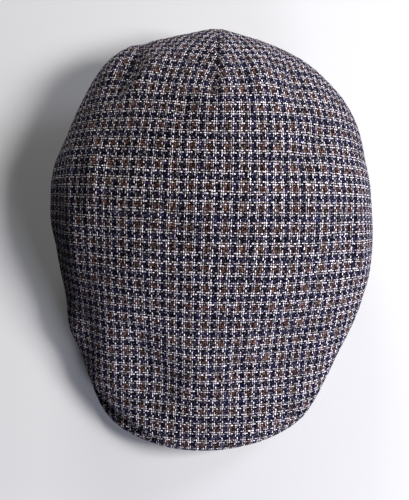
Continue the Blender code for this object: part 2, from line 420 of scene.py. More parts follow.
def grid_faces(rows: int, columns: int, closed: bool) -> Array:
    """Corner numbers of the quads between the points of a grid.

    Args:
        rows: Rows of points.
        columns: Points in a row.
        closed: True where the last column joins the first.

    Returns:
        Four point numbers for each quad.
    """
    low, left = np.meshgrid(np.arange(rows - 1), np.arange(columns if closed else columns - 1), indexing="ij")
    right = (left + 1) % columns
    low, high = low * columns, (low + 1) * columns
    return np.stack((low + left, low + right, high + right, high + left), axis=-1).reshape(-1, 4)


def fan_faces(start: int, count: int, middle: int) -> Array:
    """Corner numbers of the triangles between a closed ring and the point at its middle.

    Args:
        start: Number of the ring's first point.
        count: Points in the ring.
        middle: Number of the middle point.

    Returns:
        Three point numbers for each triangle.
    """
    around = np.arange(count)
    return np.stack((start + around, start + (around + 1) % count, np.full(count, middle)), axis=-1)


def grid_corners(values: Array) -> Array:
    """Spreads a grid of map places over its quads' corners, in the order of grid_faces."""
    low, high = values[:-1], values[1:]
    return np.stack((low[:, :-1], low[:, 1:], high[:, 1:], high[:, :-1]), axis=2).reshape(-1, 2)


def outward_normals(points: Array) -> Array:
    """Unit normals of the crown's outer side.

    Args:
        points: Its points, a closed ring to a row, from the rim to near the middle.

    Returns:
        A normal for each point, pointing out of the crown.
    """
    along = np.roll(points, -1, axis=1) - np.roll(points, 1, axis=1)
    normals = unit(np.cross(along, np.gradient(points, axis=0)))
    near_the_middle = -5
    return normals * np.sign(normals[near_the_middle, 0, 2])


def linked(name: str, data: bpy.types.ID) -> Piece:
    """Makes an object and puts it into the scene."""
    made = bpy.data.objects.new(name, data)
    bpy.context.scene.collection.objects.link(made)
    return made


def new_mesh_piece(name: str, points: Array, faces: list, maps: dict[str, Array]) -> Piece:
    """Makes a smooth-shaded mesh object.

    Args:
        name: Name of the piece.
        points: Its points, a row each.
        faces: Point numbers of each face.
        maps: For each texture map, a place for every corner of every face.

    Returns:
        The piece, linked into the scene.
    """
    data = bpy.data.meshes.new(name)
    data.from_pydata(points.tolist(), [], faces)
    for map_name, places in maps.items():
        layer = data.uv_layers.new(name=map_name)
        layer.data.foreach_set("uv", places.astype(np.float32).ravel())
    data.shade_smooth()
    return linked(name, data)


def new_tubes(name: str, points: Array, maps: dict[str, Array]) -> Piece:
    """Makes one mesh of many short tubes with closed ends.

    Args:
        name: Name of the piece.
        points: Points by tube, by ring and by side.
        maps: For each texture map, a place for every corner: all the tubes' long faces, then their ends.

    Returns:
        The piece, linked into the scene.
    """
    count, rings, sides = points.shape[:3]
    starts = np.arange(count)[:, None, None] * rings * sides
    long_faces = (grid_faces(rings, sides, closed=True) + starts).reshape(-1, 4)
    ends = np.array((np.arange(sides)[::-1], np.arange(sides) + (rings - 1) * sides))
    faces = long_faces.tolist() + (ends + starts).reshape(-1, sides).tolist()
    return new_mesh_piece(name, points.reshape(-1, 3), faces, maps)


def fitted(places: Array, low: Span, high: Span) -> Array:
    """Moves and scales map places, evenly, into a box of the unit square with a margin inside it."""
    smallest = places.min(axis=0)
    corner = np.array(low) + BAKE_MARGIN
    scale = min((np.array(high) - BAKE_MARGIN - corner) / (places.max(axis=0) - smallest))
    return corner + (places - smallest) * scale


class Rise(NamedTuple):
    """A smooth step: where it begins and ends, and what it goes from and to."""

    low: float
    high: float
    least: float = 0.0
    most: float = 1.0


@dataclass
class Graph:
    """Short calls that add shader nodes to a tree and join them. Every value is a socket or a constant."""

    tree: Tree

    def feed(self, socket: Socket, value: object) -> None:
        """Links a socket to an input, or sets the input to a constant."""
        if isinstance(value, Socket):
            self.tree.links.new(value, socket)
        else:
            socket.default_value = value

    def node(self, kind: str, *values: object, **settings: object) -> bpy.types.Node:
        """Adds a node.

        Args:
            kind: Blender's name of the node.
            values: Its first inputs.
            settings: Its properties by name.

        Returns:
            The node.
        """
        made = self.tree.nodes.new(kind)
        for name, value in settings.items():
            setattr(made, name, value)
        for socket, value in zip(made.inputs, values):
            self.feed(socket, value)
        return made

    def fill(self, node: bpy.types.Node, **values: object) -> bpy.types.Node:
        """Feeds a node's inputs by name.

        Args:
            node: The node.
            values: Its inputs by name, with _ for a space.

        Returns:
            The same node.
        """
        for name, value in values.items():
            self.feed(node.inputs[name.replace("_", " ")], value)
        return node

    def math(self, operation: str, *values: object) -> Socket:
        """Adds a Math node."""
        return self.node("ShaderNodeMath", *values, operation=operation).outputs[0]

    def vector(self, operation: str, *values: object) -> Socket:
        """Adds a Vector Math node."""
        return self.node("ShaderNodeVectorMath", *values, operation=operation).outputs[0]

    def scaled(self, value: object, times: object, plus: object) -> Socket:
        """Multiplies a value and adds to it."""
        return self.math("MULTIPLY_ADD", value, times, plus)

    def product(self, first: object, *others: object) -> Socket:
        """Multiplies values."""
        for other in others:
            first = self.math("MULTIPLY", first, other)
        return first

    def step(self, value: object, rise: Rise) -> Socket:
        """Maps a value through a smooth step."""
        return self.node("ShaderNodeMapRange", value, *rise, interpolation_type="SMOOTHSTEP").outputs[0]

    def mix(self, share: object, first: object, second: object, colour: bool = False) -> Socket:
        """Mixes two numbers or two colours.

        Args:
            share: How much of the second shows.
            first: Number or colour at share 0.
            second: Number or colour at share 1.
            colour: True for colours.

        Returns:
            The result's socket.
        """
        made = self.node("ShaderNodeMix", data_type="RGBA" if colour else "FLOAT")
        start = 6 if colour else 2
        for place, value in zip((0, start, start + 1), (share, first, second)):
            self.feed(made.inputs[place], value)
        return made.outputs[2 if colour else 0]

    def tint(self, colour: object, value: object) -> Socket:
        """Multiplies a colour by a number."""
        given = colour if isinstance(colour, Socket) else colour[:3]
        return self.fill(self.node("ShaderNodeVectorMath", given, operation="SCALE"), Scale=value).outputs[0]

    def noise(self, vector: object, scale: object, detail: float = 2.0, flat: bool = True) -> bpy.types.Node:
        """Adds a noise texture, in the plane of the map or in space."""
        made = self.node("ShaderNodeTexNoise", noise_dimensions="2D" if flat else "3D")
        return self.fill(made, Vector=vector, Scale=scale, Detail=detail)

    def drawn_out(self, place: object, share: float, along_y: bool, *noise: object) -> Socket:
        """Adds a noise that is drawn out along one of the map's directions.

        Args:
            place: Place on the map.
            share: Scale along that direction, as a share of the other's.
            along_y: True for the second direction.
            noise: The noise's scale and detail.

        Returns:
            The noise's socket.
        """
        squeezed = self.vector("MULTIPLY", place, (1.0, share, 1.0) if along_y else (share, 1.0, 1.0))
        return self.noise(squeezed, *noise).outputs["Fac"]

    def random(self, *numbers: object) -> Socket:
        """Adds a random number for each pair of whole numbers."""
        cell = self.node("ShaderNodeCombineXYZ", *numbers).outputs[0]
        return self.node("ShaderNodeTexWhiteNoise", cell, noise_dimensions="2D").outputs["Value"]

    def cloth_place(self) -> Socket:
        """Place on the flat cloth, in metres."""
        return self.node("ShaderNodeUVMap", uv_map=WEAVE_MAP).outputs[0]

    def bump(self, height: object, distance: float) -> Socket:
        """Normal of a relief."""
        return self.fill(self.node("ShaderNodeBump"), Height=height, Distance=distance).outputs[0]

    def group(self, tree: Tree, **values: object) -> Outputs:
        """Puts a shader node group into a material.

        Args:
            tree: The group.
            values: Its inputs by name, with _ for a space.

        Returns:
            The group's outputs.
        """
        return self.fill(self.node("ShaderNodeGroup", node_tree=tree), **values).outputs


def shared_group(
    name: str, inputs: tuple[str, ...], outputs: tuple[str, ...]
) -> tuple[Graph, Outputs, bpy.types.Node]:
    """Starts a shader node group that works from a place on the cloth.

    Args:
        name: Name of the group.
        inputs: Names of the numbers that it takes beside the place.
        outputs: Names of the numbers that it puts out.

    Returns:
        The group's graph, its inputs' sockets, and its output node.
    """
    tree = bpy.data.node_groups.new(name, "ShaderNodeTree")
    tree.interface.new_socket(name="Place", in_out="INPUT", socket_type="NodeSocketVector")
    for in_out, names in (("INPUT", inputs), ("OUTPUT", outputs)):
        for socket in names:
            tree.interface.new_socket(name=socket, in_out=in_out, socket_type="NodeSocketFloat")
    graph = Graph(tree)
    return graph, graph.node("NodeGroupInput").outputs, graph.node("NodeGroupOutput")


@cache
def plain_weave_group() -> Tree:
    """Plain weave of round yarns, as a shader node group that is built once.

    Each yarn rises and falls over the ones it crosses, and every other pair of yarns may be thinner, so that
    the yarns below show beside it.

    Returns:
        The group. It tells which yarn is on top, its number and that of the yarn below it, and gives the
        height of the cloth's face.
    """
    slub_share, slub_scale, slub_detail, slub_widths = 0.12, 600.0, 1.0, (0.8, 0.6)
    crimp, roundness, gap, lowest = 0.42, 0.58, 0.02, -0.45
    graph, given, result = shared_group(
        "plain_weave",
        ("Warp Pitch", "Weft Pitch", "Fullness", "Thinner"),
        ("Warp On Top", "Yarn", "Yarn Below", "Crossing", "Tone", "Height", "Warp Ridge"),
    )
    sides = graph.node("ShaderNodeSeparateXYZ", given["Place"]).outputs
    pitches = given["Warp Pitch"], given["Weft Pitch"]
    steps = [graph.math("DIVIDE", side, pitch) for side, pitch in zip(sides, pitches)]
    numbers = [graph.math("FLOOR", step) for step in steps]
    beside = [graph.math("SUBTRACT", graph.math("FRACT", step), 0.5) for step in steps]
    upwards = graph.scaled(graph.math("FLOORED_MODULO", graph.math("ADD", *numbers), 2.0), -2.0, 1.0)
    heights = []
    for own, other, sign in ((0, 1, 1.0), (1, 0, -1.0)):
        slub = graph.drawn_out(given["Place"], slub_share, own == 0, slub_scale, slub_detail)
        thin_pair = graph.math("LESS_THAN", graph.math("FLOORED_MODULO", numbers[own], 4.0), 1.5)
        full = graph.scaled(graph.product(thin_pair, given["Thinner"]), -1.0, given["Fullness"])
        width = graph.product(full, graph.scaled(slub, *slub_widths))
        share = graph.math("POWER", graph.math("ABSOLUTE", graph.math("DIVIDE", beside[own], width)), 2.0)
        section = graph.math("SQRT", graph.math("MAXIMUM", graph.scaled(share, -4.0, 1.0), 0.0))
        wave = graph.math("COSINE", graph.product(beside[other], pi))
        arch = graph.product(wave, upwards, crimp * sign)
        missed = graph.math("LESS_THAN", section, gap)
        heights.append(graph.math("SUBTRACT", graph.scaled(section, roundness, arch), missed))
    warp_on_top = graph.math("GREATER_THAN", *heights)
    yarn = graph.mix(warp_on_top, numbers[1], numbers[0])
    graph.fill(
        result,
        Warp_On_Top=warp_on_top,
        Yarn=yarn,
        Yarn_Below=graph.mix(warp_on_top, *numbers),
        Crossing=graph.random(*numbers),
        Tone=graph.random(yarn, warp_on_top),
        Height=graph.math("MAXIMUM", graph.math("MAXIMUM", *heights), lowest),
        Warp_Ridge=graph.math("COSINE", graph.scaled(steps[0], pi / 2, -pi / 2)),
    )
    return graph.tree


@cache
def fibre_group() -> Tree:
    """Fine fibres that lie along a yarn, as a shader node group that is built once.

    Returns:
        The group. Its tone is lighter and darker along the fibres, and its height roughens them.
    """
    graph, given, result = shared_group("fibres", ("Along Y", "Scale"), ("Tone", "Height"))
    share, detail, lighter = 0.28, 3.0, Rise(0.25, 0.75)
    lying, upright = (
        graph.drawn_out(given["Place"], share, along_y, given["Scale"], detail) for along_y in (False, True)
    )
    height = graph.mix(given["Along Y"], lying, upright)
    graph.fill(result, Tone=graph.step(height, lighter), Height=height)
    return graph.tree


def woven(
    graph: Graph, place: Socket, pitches: Span, thickness: Span, fibre_scale: float
) -> tuple[Outputs, Outputs]:
    """Puts the weave and the fibres along its yarns into a cloth's material.

    Args:
        graph: The material's graph.
        place: Place on the map.
        pitches: Way from one yarn to the next, for the warp and for the weft.
        thickness: Width of a yarn as a share of that, and how much less every other pair has.
        fibre_scale: Fineness of the fibres.

    Returns:
        The weave's outputs and the fibres'.
    """
    weave = graph.group(
        plain_weave_group(),
        Place=place,
        Warp_Pitch=pitches[0],
        Weft_Pitch=pitches[1],
        Fullness=thickness[0],
        Thinner=thickness[1],
    )
    return weave, graph.group(fibre_group(), Place=place, Along_Y=weave["Warp On Top"], Scale=fibre_scale)


def new_material(name: str) -> tuple[bpy.types.Material, Graph, bpy.types.Node]:
    """Makes a node material.

    Args:
        name: Name of the material.

    Returns:
        The material, its graph and its Principled shader.
    """
    material = bpy.data.materials.new(name)
    material.use_nodes = True
    return material, Graph(material.node_tree), material.node_tree.nodes["Principled BSDF"]


@dataclass(frozen=True)
class CheckCloth:
    """Wool and linen check: two light, two navy, two light and two brown yarns, both ways, in plain weave.

    The light yarns are the thinner ones. A brown yarn is clouded where it crosses the navy ones and the
    light one after them, so that brown shows mostly where brown crosses brown. Neps are specks of other
    wool on the dark yarns. Pairs that say how dye, tone or roughness varies give what is added at most and
    the least that there is. Numbers over brown_from are brown unless they are light, and clouding is the
    middle and the reach of those that cloud the brown.
    """

    name: str = "check_cloth"
    pitches: Span = (1.25 * MM, 1.47 * MM)
    shift: tuple[float, float, float] = (-4.6 * MM, -2.9 * MM, 0.0)
    wanders: tuple[Span, ...] = ((45.0, 1.1 * MM), (420.0, 1.0 * MM))
    thickness: Span = (0.98, 0.50)
    light: Colour = (0.935, 0.86, 0.90, 1)
    navy: Colour = (0.0115, 0.0115, 0.048, 1)
    brown: Colour = (0.092, 0.045, 0.038, 1)
    tan: Colour = (0.44, 0.27, 0.19, 1)
    repeat: float = 8.0
    brown_from: float = 5.0
    clouding: Span = (3.5, 1.1)
    clouded: float = 0.7
    warp_lighter: Span = (0.16, 0.88)
    light_dye: Span = (1.15, 0.30)
    dark_dye: Span = (1.7, 0.05)
    dark_dye_power: float = 2.6
    nep_scale: float = 1500.0
    nep_light: float = 2.0
    neps_on_navy: Rise = Rise(0.72, 0.82, most=0.40)
    neps_on_brown: Rise = Rise(0.62, 0.76, most=0.52)
    yarn_tones: Span = (0.3, 0.85)
    fibre_tones: Span = (0.5, 0.75)
    # Painted shade: heights of the cloth's face over which the colour goes from least, low between the yarns,
    # to full on their tops.
    painted_gap_shade: Rise = Rise(0.27, 0.98, least=0.015)
    fibre_scale: float = 3200.0
    fibre_height: float = 0.25
    relief: float = 0.80 * MM
    ridge: float = 0.18 * MM
    roughness: Span = (0.12, 0.84)
    specular: float = 0.06
    sheen: float = 0.06
    sheen_tint: Colour = (0.05, 0.06, 0.50, 1)

    def material(self) -> bpy.types.Material:
        """Builds the cloth's material.

        Returns:
            The material, which reads the weave map in metres.
        """
        material, graph, shader = new_material(self.name)
        place = graph.vector("ADD", graph.cloth_place(), self.shift)
        for scale, reach in self.wanders:
            wander = graph.noise(place, scale).outputs["Color"]
            place = graph.vector("MULTIPLY_ADD", wander, (reach, reach, 0), place)
        weave, fibres = woven(graph, place, self.pitches, self.thickness, self.fibre_scale)
        tall = graph.scaled(fibres["Height"], self.fibre_height, weave["Height"])
        tall = graph.scaled(weave["Warp Ridge"], self.ridge / self.relief, tall)
        graph.fill(
            shader,
            Base_Color=self.yarn_colours(graph, place, weave, fibres),
            Normal=graph.bump(tall, self.relief),
            Roughness=graph.scaled(fibres["Tone"], *self.roughness),
            Sheen_Weight=self.sheen,
            Sheen_Tint=self.sheen_tint,
            Specular_IOR_Level=self.specular,
        )
        return material

    def yarn_colours(
        self,
        graph: Graph,
        place: Socket,
        weave: Outputs,
        fibres: Outputs,
    ) -> Socket:
        """Colours the yarn on top, with uneven dye, fibres and painted shade where the cloth's face lies low
        between the yarns.

        Args:
            graph: The material's graph.
            place: Place on the map.
            weave: The weave's outputs.
            fibres: The fibres' outputs.

        Returns:
            The colour's socket.
        """
        yarn, below = (graph.math("ADD", weave[name], 0.5) for name in ("Yarn", "Yarn Below"))
        half = self.repeat / 2
        is_light = graph.math("LESS_THAN", graph.math("FLOORED_MODULO", yarn, half), half / 2)
        in_check = [graph.math("FLOORED_MODULO", number, self.repeat) for number in (yarn, below)]
        is_brown = graph.math("GREATER_THAN", in_check[0], self.brown_from)
        navy_below = graph.math("COMPARE", in_check[1], *self.clouding)
        is_brown = graph.product(is_brown, graph.scaled(navy_below, -self.clouded, 1.0))
        nep = graph.noise(place, self.nep_scale, detail=0.0).outputs["Fac"]
        nep = graph.mix(is_brown, graph.step(nep, self.neps_on_navy), graph.step(nep, self.neps_on_brown))
        dark = graph.mix(is_brown, self.navy, self.brown, colour=True)
        dark = graph.mix(nep, dark, graph.mix(is_brown, self.light, self.tan, colour=True), colour=True)
        one_way = graph.scaled(weave["Warp On Top"], *self.warp_lighter)
        light_dye = graph.product(graph.scaled(weave["Crossing"], *self.light_dye), one_way)
        dark_dye = graph.scaled(graph.math("POWER", weave["Crossing"], self.dark_dye_power), *self.dark_dye)
        dark_dye = graph.math("MAXIMUM", dark_dye, graph.product(nep, self.nep_light))
        # Dye and tone of the yarns, times painted shade where the cloth's face lies low between the yarns.
        tone_and_painted_shade = graph.product(
            graph.mix(is_light, dark_dye, light_dye),
            graph.scaled(weave["Tone"], *self.yarn_tones),
            graph.scaled(fibres["Tone"], *self.fibre_tones),
            graph.step(weave["Height"], self.painted_gap_shade),
        )
        return graph.tint(graph.mix(is_light, dark, self.light, colour=True), tone_and_painted_shade)


@dataclass(frozen=True)
class BandTwill:
    """Plain dark cotton band, closely woven, with painted shade where its face lies low between the yarns. Its
    pairs read like the check cloth's.
    """

    name: str = "band_twill"
    colour: Colour = (0.018, 0.020, 0.036, 1)
    pitches: Span = (0.55 * MM, 0.88 * MM)
    fibre_scale: float = 5200.0
    dye: Span = (0.35, 0.8)
    # Painted shade: the colour darkens where the band's face lies low between the yarns.
    painted_gap_shade: Rise = Rise(-0.3, 0.7, least=0.3)
    relief: float = 0.12 * MM
    roughness: Span = (0.15, 0.73)
    sheen: float = 0.1

    def material(self) -> bpy.types.Material:
        """Builds the band's material.

        Returns:
            The material, which reads the weave map in metres.
        """
        material, graph, shader = new_material(self.name)
        weave, fibres = woven(graph, graph.cloth_place(), self.pitches, (1.0, 0.0), self.fibre_scale)
        dye = graph.scaled(weave["Crossing"], *self.dye)
        # Dye times painted shade where the face lies low between the yarns.
        tone_and_painted_shade = graph.product(dye, graph.step(weave["Height"], self.painted_gap_shade))
        graph.fill(
            shader,
            Base_Color=graph.tint(self.colour, tone_and_painted_shade),
            Normal=graph.bump(weave["Height"], self.relief),
            Roughness=graph.scaled(fibres["Tone"], *self.roughness),
            Sheen_Weight=self.sheen,
        )
        return material


@dataclass(frozen=True)
class Thread:
    """Twisted sewing thread."""

    name: str = "sewing_thread"
    colour: Colour = (0.035, 0.036, 0.055, 1)
    fibre_scale: float = 6000.0
    fibre_tones: Span = (0.6, 0.7)
    relief: float = 0.05 * MM
    roughness: float = 0.6

    def material(self) -> bpy.types.Material:
        """Builds the thread's material.

        Returns:
            The material.
        """
        material, graph, shader = new_material(self.name)
        fibres = graph.group(fibre_group(), Place=graph.cloth_place(), Along_Y=0.0, Scale=self.fibre_scale)
        graph.fill(
            shader,
            Base_Color=graph.tint(self.colour, graph.scaled(fibres["Tone"], *self.fibre_tones)),
            Normal=graph.bump(fibres["Height"], self.relief),
            Roughness=self.roughness,
        )
        return material


@dataclass
class Crown:
    """Cloth body of the cap, open at the head.

    It is a smooth surface over a cage of rings, the lower ones under the edge and the others at ring_shares
    of the way from the middle to the edge. The cage's columns crowd a little at the front and the back, and
    row_steps says how many rows of the mesh lie between one ring and the next. Rows and rings are counted
    from the rim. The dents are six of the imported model's, and the folds are the scene's own. The slides draw
    the edge back at the left of the front, where the crown has slid up the peak. A fitted dome takes over at
    the top, between the two numbers of rings that dome_span gives before the middle.
    """

    form: CapForm
    ring_shares: tuple[float, ...] = (0.975, 0.93, 0.86, 0.74, 0.58, 0.40, 0.20)
    heights: tuple[Heights, ...] = (
        Heights(0, 0.000, 0.008, 0.047, 0.126, 0.240, 0.472, 0.748, 0.921),
        Heights(20, 0.025, 0.052, 0.108, 0.178, 0.298, 0.543, 0.789, 0.934),
        Heights(45, 0.159, 0.205, 0.290, 0.380, 0.527, 0.727, 0.867, 0.954),
        Heights(70, 0.306, 0.360, 0.447, 0.551, 0.666, 0.793, 0.900, 0.962),
        Heights(90, 0.340, 0.424, 0.516, 0.613, 0.724, 0.827, 0.910, 0.967),
        Heights(135, 0.385, 0.462, 0.556, 0.645, 0.764, 0.872, 0.950, 0.989),
        Heights(180, 0.441, 0.516, 0.608, 0.712, 0.845, 0.946, 0.998, 1.000),
    )
    middle_height: float = 0.989
    lower: tuple[LowerRing, ...] = (
        LowerRing(0.00, 0.00, 0.00, 0.00), LowerRing(0.00, 0.12, 0.05, 0.00),
        LowerRing(0.00, 0.24, 0.14, 0.00), LowerRing(0.20, 0.45, 0.50, 0.00),
        LowerRing(0.55, 0.64, 0.86, 0.00), LowerRing(0.88, 0.82, 0.97, 0.30),
    )
    front_ends: Span = (38, 72)
    dent_depth: float = 0.006
    dents: tuple[Fold, ...] = (
        Fold(0.02, 0.80, 0.20, 0.085, 90, 0.40), Fold(-0.20, 0.56, 0.20, 0.150, 30, 0.30),
        Fold(-0.74, 0.66, 0.16, 0.130, 140, 0.50), Fold(0.56, 0.72, 0.18, 0.120, 40, 0.45),
        Fold(0.76, 0.36, 0.20, 0.120, 60, 0.45), Fold(0.40, -0.55, 0.28, 0.190, 110, 0.35),
    )
    folds: tuple[Fold, ...] = (
        Fold(-0.60, 0.16, 0.42, 0.30, 92, -0.48), Fold(-0.32, -0.66, 0.23, 0.10, 114, 0.52),
        Fold(-0.545, 0.77, 0.24, 0.10, 74, 0.55), Fold(-0.62, -0.40, 0.34, 0.12, 100, -0.22),
        Fold(-0.84, 0.02, 0.22, 0.09, 92, -0.32), Fold(-0.07, -0.62, 0.22, 0.10, 112, -0.26),
        Fold(-0.75, -0.46, 0.32, 0.09, 102, 0.36), Fold(-0.93, 0.16, 0.46, 0.07, 92, 0.36),
        Fold(-0.84, 0.25, 0.16, 0.05, 88, -0.30), Fold(-0.78, 0.22, 0.14, 0.045, 88, 0.14),
        Fold(-0.70, 0.25, 0.24, 0.065, 86, -0.36), Fold(-0.56, 0.28, 0.20, 0.05, 86, 0.14),
        Fold(-0.68, 0.47, 0.09, 0.05, 150, 0.26), Fold(-0.51, 0.77, 0.20, 0.050, 75, 0.70),
        Fold(-0.63, 0.79, 0.16, 0.050, 75, -0.25), Fold(-0.44, 0.69, 0.24, 0.065, 46, -0.46),
        Fold(-0.025, 0.66, 0.14, 0.040, 90, 0.24), Fold(0.05, 0.70, 0.20, 0.050, 90, -0.34),
        Fold(-0.19, 0.52, 0.11, 0.045, 63, 0.34), Fold(0.25, 0.70, 0.16, 0.060, 92, -0.36),
        Fold(0.46, 0.70, 0.14, 0.060, 96, 0.34), Fold(0.57, 0.38, 0.15, 0.060, 53, 0.55),
        Fold(0.41, 0.26, 0.10, 0.050, 60, 0.26), Fold(0.82, 0.02, 0.20, 0.045, 92, 0.45),
        Fold(0.92, -0.08, 0.16, 0.050, 96, -0.25), Fold(0.20, -0.63, 0.13, 0.055, 100, 0.24),
    )
    slides: tuple[Pull, ...] = (
        Pull(-37, 0.0), Pull(-33, 0.5), Pull(-29, 2.4), Pull(-25, 3.4), Pull(-20, 3.2),
        Pull(-16, 2.2), Pull(-11, 0.6), Pull(-5, 0.0),
    )
    slide_begins: Span = (2.0, 4.5)
    slide_ends: Span = (7.0, 9.8)
    cage_columns: int = 36
    crowding: float = 0.15
    cage_rounds: int = 4
    cage_share: float = 1 / 8
    dome_span: Span = (2.6, 1.2)
    dome_power: int = 3
    dome_samples: int = 6
    columns: int = 400
    row_steps: tuple[int, ...] = (3, 3, 4, 5, 5, 5, 4, 4, 6, 8, 10, 11, 12, 12)
    folds_begin: Span = (-1.5, 0.5)
    waves: tuple[Waves, ...] = (Waves(42.0, 0.40 * MM), Waves(105.0, 0.20 * MM, (7, 3, 5)))
    dart_tip_row: float = 11.0
    dart_depth: float = 0.9 * MM
    dart_width: float = 0.8 * MM
    dart_begins: Span = (1.0, 2.0)
    dart_front_end: Span = (94 * MM, 104 * MM)
    dart_eased: Span = (120 * MM, 131 * MM)
    dart_eased_share: float = 0.75
    puff_share: float = 0.45
    puff_aside: float = 3.2 * MM
    puff_width: float = 2.0 * MM
    crowding_at_dart: float = 4.0
    dart_share: float = 0.012
    coarse_steps: int = 4
    unwrap_rounds: int = 120
    rim_turns: tuple[float, ...] = (135, 90, 45)
    hem_shares: tuple[float, ...] = (0.5, 1.0, 0.5)
    outer: Array = field(default_factory=lambda: np.zeros((0, 0, 3)))

    @property
    def edge(self) -> int:
        """Number of the ring at the crown's edge."""
        return len(self.lower)

    @property
    def pole(self) -> int:
        """Row number of the middle, where all sections meet."""
        return self.edge + 1 + len(self.ring_shares)

    def column_angles(self) -> Array:
        """Angles of the cage's columns, which stand closer at the front and the back."""
        turns = np.arange(self.cage_columns) * 360 / self.cage_columns
        return turns - np.degrees(self.crowding * np.sin(2 * np.radians(turns)))

    def rings(self, angles: Array) -> Array:
        """Rings of the crown before its dents, from the rim to near the middle.

        Args:
            angles: Degrees from the front.

        Returns:
            Points, a row for each ring and a column for each angle.
        """
        form = self.form
        turns = form.turns(angles)
        overhang = form.overhang(angles)
        frontness = 1 - smooth_step(turns, *self.front_ends)
        lying = frontness * form.lying_height(angles, overhang)
        shares = through_rows(turns, self.heights)
        edge = blend(lying + form.fold_radius, form.crown_height, shares[:, 0])
        rim = form.rim_height(angles)
        rings = []
        for ring in self.lower:
            out = overhang * blend(ring.side_out, ring.front_out, frontness)
            front = form.lying_height(angles, out) + ring.front_up * (edge - lying)
            height = blend(blend(rim, edge, ring.side_up), front, frontness)
            over_peak = np.maximum(height, form.lying_height(angles, out))
            height = np.where(turns < form.peak_tip_angle, over_peak, height)
            inset = form.cloth * frontness**2 * (1 - ring.front_out)
            rings.append(np.column_stack((form.plan(angles, out - inset), height)))
        edge_plan = form.plan(angles, overhang)
        rings.append(np.column_stack((edge_plan, edge)))
        floor = lying + 2 * form.fold_radius
        for share, height in zip(self.ring_shares, shares[:, 1:].T):
            plan = blend(form.crown_middle, edge_plan, share)
            rings.append(np.column_stack((plan, blend(floor, form.crown_height, height))))
        points = np.array(rings)
        tilt = form.crown_slump / (2 * form.half_width)
        rise = tilt * points[:, :, 0] * smooth_step(points[:, :, 2], form.peak_lift, form.crown_height)
        points[:, :, 2] += rise
        return points

    def push(self, points: Array, folds: tuple[Fold, ...]) -> Array:
        """How far folds press the crown's points inwards.

        Args:
            points: Points of any grid.
            folds: The folds.

        Returns:
            The depth at each point, in metres.
        """
        depth = np.zeros(points.shape[:-1])
        for fold in folds:
            offset_x = points[..., 0] - fold.x * self.form.half_width
            offset_y = points[..., 1] - fold.y * self.form.half_length
            ahead, aside = cos(radians(fold.heading)), sin(radians(fold.heading))
            along = (offset_x * ahead + offset_y * aside) / (fold.along * self.form.half_width)
            across = (offset_y * ahead - offset_x * aside) / (fold.across * self.form.half_width)
            depth += fold.depth * self.dent_depth * np.exp(-(along**2) - across**2)
        return depth

    def net(self) -> Array:
        """Grid of points that the crown's smooth surface runs by, with the dents pressed in.

        The dents press towards a core a third of the way up. The cage is then drawn against the smoothing of
        the surface, so that the surface comes near to the rings.

        Returns:
            Points, a row for each ring, then the middle, and one more ring from the far side.
        """
        form = self.form
        rings = self.rings(self.column_angles())
        upper = rings[self.edge :]
        inwards = unit(np.array((*form.crown_middle, form.crown_height / 3)) - upper)
        upper += inwards * self.push(upper, self.dents)[..., None]
        cage = rings.copy()
        for _ in range(self.cage_rounds):
            bends = np.roll(cage, 1, axis=1) - 2 * cage + np.roll(cage, -1, axis=1)
            bends[self.edge] += cage[self.edge - 1] - 2 * cage[self.edge] + cage[self.edge + 1]
            cage = rings - bends * self.cage_share
        cage[:, :, 2] = np.maximum(cage[:, :, 2], 0.0)
        middle = np.broadcast_to((*form.crown_middle, self.middle_height * form.crown_height), cage[:1].shape)
        far_side = np.roll(cage[-1:], self.cage_columns // 2, axis=1)
        return np.concatenate((cage, middle, far_side))

    def surface(self, rows: Array, columns: Array) -> Array:
        """Points of the crown's outer side, with a smooth dome at the top.

        Args:
            rows: Places across the rings, from the rim at 0 to the middle.
            columns: Places around, in the cage's columns from the front.

        Returns:
            The points, a row for each of rows.
        """
        net = self.net()
        points = sample(net, rows, columns, Spline.NEAR, closed=True)
        dome_low, dome_high = (self.pole - above for above in self.dome_span)
        dome_rows = np.linspace(dome_low, self.pole - 1.0, self.dome_samples)
        around = sample(net, dome_rows, np.arange(self.cage_columns, dtype=float), Spline.NEAR, closed=True)

        def terms(places: Array) -> Array:
            """Products of the plan's two directions up to the dome's power."""
            x, y = np.moveaxis((places[..., :2] - self.form.crown_middle) / self.form.half_width, -1, 0)
            powers = range(self.dome_power + 1)
            return np.stack([x**i * y**j for i in powers for j in powers[: len(powers) - i]], axis=-1)

        known = terms(around)
        fit, *_ = np.linalg.lstsq(known.reshape(-1, known.shape[-1]), around[..., 2].ravel(), rcond=None)
        share = smooth_step(rows, dome_low, dome_high)[:, None]
        points[..., 2] = blend(points[..., 2], terms(points) @ fit, share)
        return self.drawn_in(self.form.pulled(points), rows)

    def drawn_in(self, points: Array, rows: Array) -> Array:
        """Draws the crown's edge back from the peak's where it has slid up, so that the peak shows beside it.

        Args:
            points: The outer side's points.
            rows: Their places across the rings.

        Returns:
            The points, moved.
        """
        form = self.form
        from_head = points[..., :2] - (0, form.head_middle_y)
        knots, outs = np.array(self.slides).T
        near_edge = smooth_step(rows, *self.slide_begins) * (1 - smooth_step(rows, *self.slide_ends))
        angles = np.degrees(np.arctan2(from_head[..., 0], -from_head[..., 1]))
        back = np.interp(angles, knots, outs * MM, left=0.0, right=0.0) * near_edge[:, None]
        moved = points.copy()
        moved[..., :2] -= unit(from_head) * back[..., None]
        moved[..., 2] += back * form.peak_fall / form.peak_reach
        return moved

